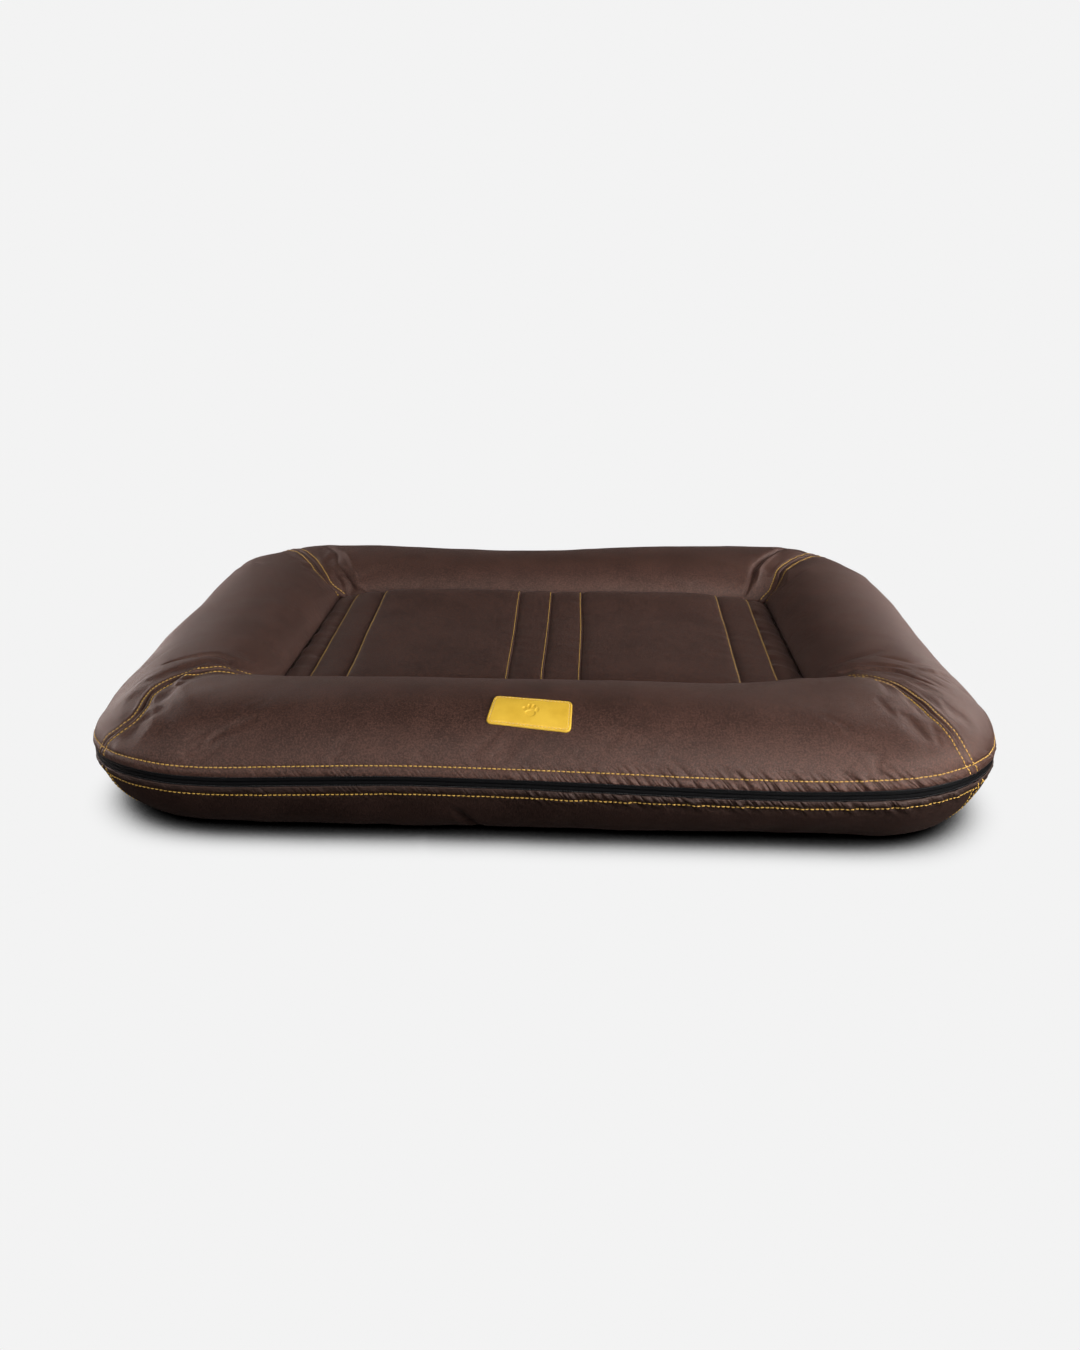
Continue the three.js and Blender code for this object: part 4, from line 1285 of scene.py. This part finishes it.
def mattress_insert():
    low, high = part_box("mattress_insert")
    half_x, half_y = high.x - 1 * MM, high.y - 1 * MM
    turn = np.linspace(0, 2 * np.pi, 64, endpoint=False)
    along = np.linspace(-1, 1, 110)[:, None]
    ease = np.sqrt(1 - np.abs(along) ** 14)
    y = half_y * boxy(np.cos(turn), 0.35) * (0.90 + 0.10 * ease)
    x = np.broadcast_to(along * half_x, y.shape)
    top = sleep_height(x, y) - 5.5 * MM
    z = 0.5 * (top + low.z) + 0.5 * (top - low.z) * boxy(np.sin(turn), 0.45) * (0.25 + 0.75 * ease)
    pad = tube_loft("mattress_insert_pad", np.stack([x, y, z], -1))
    finish_piece(pad, LINER, "inner_cushion", "liner_fabric", "mattress_insert")


def inserts():
    for k, side in enumerate(SIDE_NAMES):
        rim_insert(k, side)
    mattress_insert()


# ---------------------------------------------------------------- small CAD pieces that keep their shape
def carried_over():
    for name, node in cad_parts.items():
        if name == "zip_end_tab":
            finish = COVER
        elif name.startswith(("zip_stop", "zip_slider", "zip_pull")):
            finish = ENAMEL
        else:
            continue
        node.data.materials.clear()
        node.data.materials.append(finish)


# ---------------------------------------------------------------- studio
BACKGROUND = 0.896  # the pale grey of the floor and of what lies behind it
STUDIO_SIZE = 24  # half the floor's width and the dome's radius, in metres
DOME_DROP = 0.5  # the dome's edge lies this far below the floor


def camera_only(piece):
    """The camera sees the piece, but it throws no light on the bed."""
    piece.visible_diffuse = False
    piece.visible_glossy = False
    piece.visible_transmission = False


def studio():
    square = np.array([(-1, -1, 0), (1, -1, 0), (1, 1, 0), (-1, 1, 0)])
    floor = new_piece("floor", STUDIO_SIZE * square, [(0, 1, 2, 3)], smooth_faces=False)
    paint, n, shader = material("floor_paint", (0, 0, 0), 0.9, Specular_IOR_Level=0.0)
    open_sky = n.add("AmbientOcclusion", samples=24, Distance=FLOOR_SHADOW).outputs["AO"]
    stops = [(place, (BACKGROUND * level,) * 3) for place, level in SHADOW_STOPS]
    n.link(n.ramp(open_sky, *stops), shader.inputs["Emission Color"])
    shader.inputs["Emission Strength"].default_value = 1.0
    floor.data.materials.append(paint)
    camera_only(floor)

    turn = np.linspace(0, 2 * np.pi, 65)[:-1]
    rise = np.linspace(0, 1.55, 12)[:, None]
    rings = np.cos(rise) * np.cos(turn), np.cos(rise) * np.sin(turn), np.sin(rise)
    points = STUDIO_SIZE * np.stack(np.broadcast_arrays(*rings), -1) - [0, 0, DOME_DROP]
    dome = tube_loft("backdrop", points, caps=False)
    glow, _, shader = material("backdrop_glow", (0, 0, 0), 1.0, Specular_IOR_Level=0.0)
    shader.inputs["Emission Color"].default_value = (BACKGROUND,) * 3 + (1,)
    shader.inputs["Emission Strength"].default_value = 1.0
    dome.data.materials.append(glow)
    camera_only(dome)
    dome.visible_shadow = False
    lighting()
    bpy.context.scene.view_settings.view_transform = "Standard"


FLOOR_SHADOW = 50 * MM  # how far the bed's shadow reaches over the floor
SHADOW_STOPS = [(0.20, 0.0), (0.30, 0.03), (0.38, 0.16), (0.46, 0.42), (0.55, 0.66), (0.66, 0.87),
                (0.78, 0.97), (0.90, 1.0)]  # open share of the sky, brightness
# The room's light: how far round from the front towards the right, how high (degrees), brightness, how tight.
SOFT_BOXES = [(0, 55, 0.60, 10), (45, 55, 0.30, 10), (45, 30, 1.1, 12), (0, 25, 2.50, 12)]
AMBIENT = 0.01
# Lamps close by: place, what they point at, width, height, power and colour.
WARM, ROSY = (1.0, 0.97, 0.95), (1.0, 0.87, 0.83)
LAMPS = {
    "key_right_front": ((1.05, -0.80, 0.50), (0.35, -0.30, 0.08), 0.5, 0.5, 11.0, WARM),
    "fill_right_high": ((1.00, -0.50, 0.90), (0.30, -0.20, 0.10), 0.5, 0.5, 1.0, WARM),
    "fill_front_low": ((0.70, -1.10, 0.30), (0.30, -0.33, 0.08), 0.5, 0.3, 1.0, WARM),
    "rim_right_back": ((1.00, 0.45, 0.35), (0.40, 0.10, 0.10), 0.6, 0.25, 3.0, ROSY),
    "rim_left_back": ((-0.90, 0.50, 0.35), (-0.38, 0.15, 0.10), 0.6, 0.25, 1.2, ROSY),
    "rim_left": ((-1.00, 0.10, 0.15), (-0.40, 0.00, 0.10), 1.0, 0.12, 3.0, ROSY),
}


def lamps():
    for name, (place, target, width, height, power, colour) in LAMPS.items():
        light = bpy.data.lights.new(name, "AREA")
        light.shape, light.size, light.size_y, light.energy = "RECTANGLE", width, height, power
        light.color = colour
        lamp = bpy.data.objects.new(name, light)
        lamp.location = place
        lamp.rotation_euler = (Vector(target) - Vector(place)).to_track_quat("-Z", "Y").to_euler()
        lamp.visible_camera = False
        bpy.context.scene.collection.objects.link(lamp)


def lighting():
    """A world of broad soft boxes, dark below the horizon, and a few lamps close by."""
    lamps()
    world = bpy.data.worlds.new("studio")
    world.use_nodes = True
    n = Nodes(world.node_tree)
    direction = n.add("TexCoord").outputs["Generated"]
    total = AMBIENT
    for turn, height, strength, tight in SOFT_BOXES:
        turn, height = math.radians(turn), math.radians(height)
        dot = n.add("VectorMath", operation="DOT_PRODUCT")
        n.link(direction, dot.inputs[0])
        dot.inputs[1].default_value = (
            math.sin(turn) * math.cos(height), -math.cos(turn) * math.cos(height), math.sin(height))
        fall = n.times(n.minus(dot.outputs["Value"], 1.0), tight)
        total = n.plus(total, n.times(n.math("EXPONENT", fall), strength))
    above = n.times(n.plus(n.parts(direction)[2], 0.06), 12.0, clamp=True)
    backdrop = world.node_tree.nodes["Background"]
    backdrop.inputs["Color"].default_value = (1, 1, 1, 1)
    n.link(n.times(total, above), backdrop.inputs["Strength"])
    bpy.context.scene.world = world


def camera():
    """The photographer stands in front, a little to the right, and looks down on the bed."""
    lens = bpy.data.cameras.new("camera")
    lens.sensor_width = 36
    lens.lens = 27.33
    holder = bpy.data.objects.new("camera", lens)
    holder.location = (0.0431, -1.1602, 0.5203)
    holder.rotation_euler = (math.radians(90 - 22.56), 0, math.radians(2.518))
    bpy.context.scene.collection.objects.link(holder)
    bpy.context.scene.camera = holder


# ---------------------------------------------------------------- build
camera()
studio()
covers()
base_panel()
sleeping_surface()
label()
zips()
sew_round("top_stitching", on_rim, STITCH_ROW, "top_cover", 1)
sew_round("base_stitching", on_border, STITCH_ROW, "base_cover", 2)
sew_corners()
inserts()
carried_over()
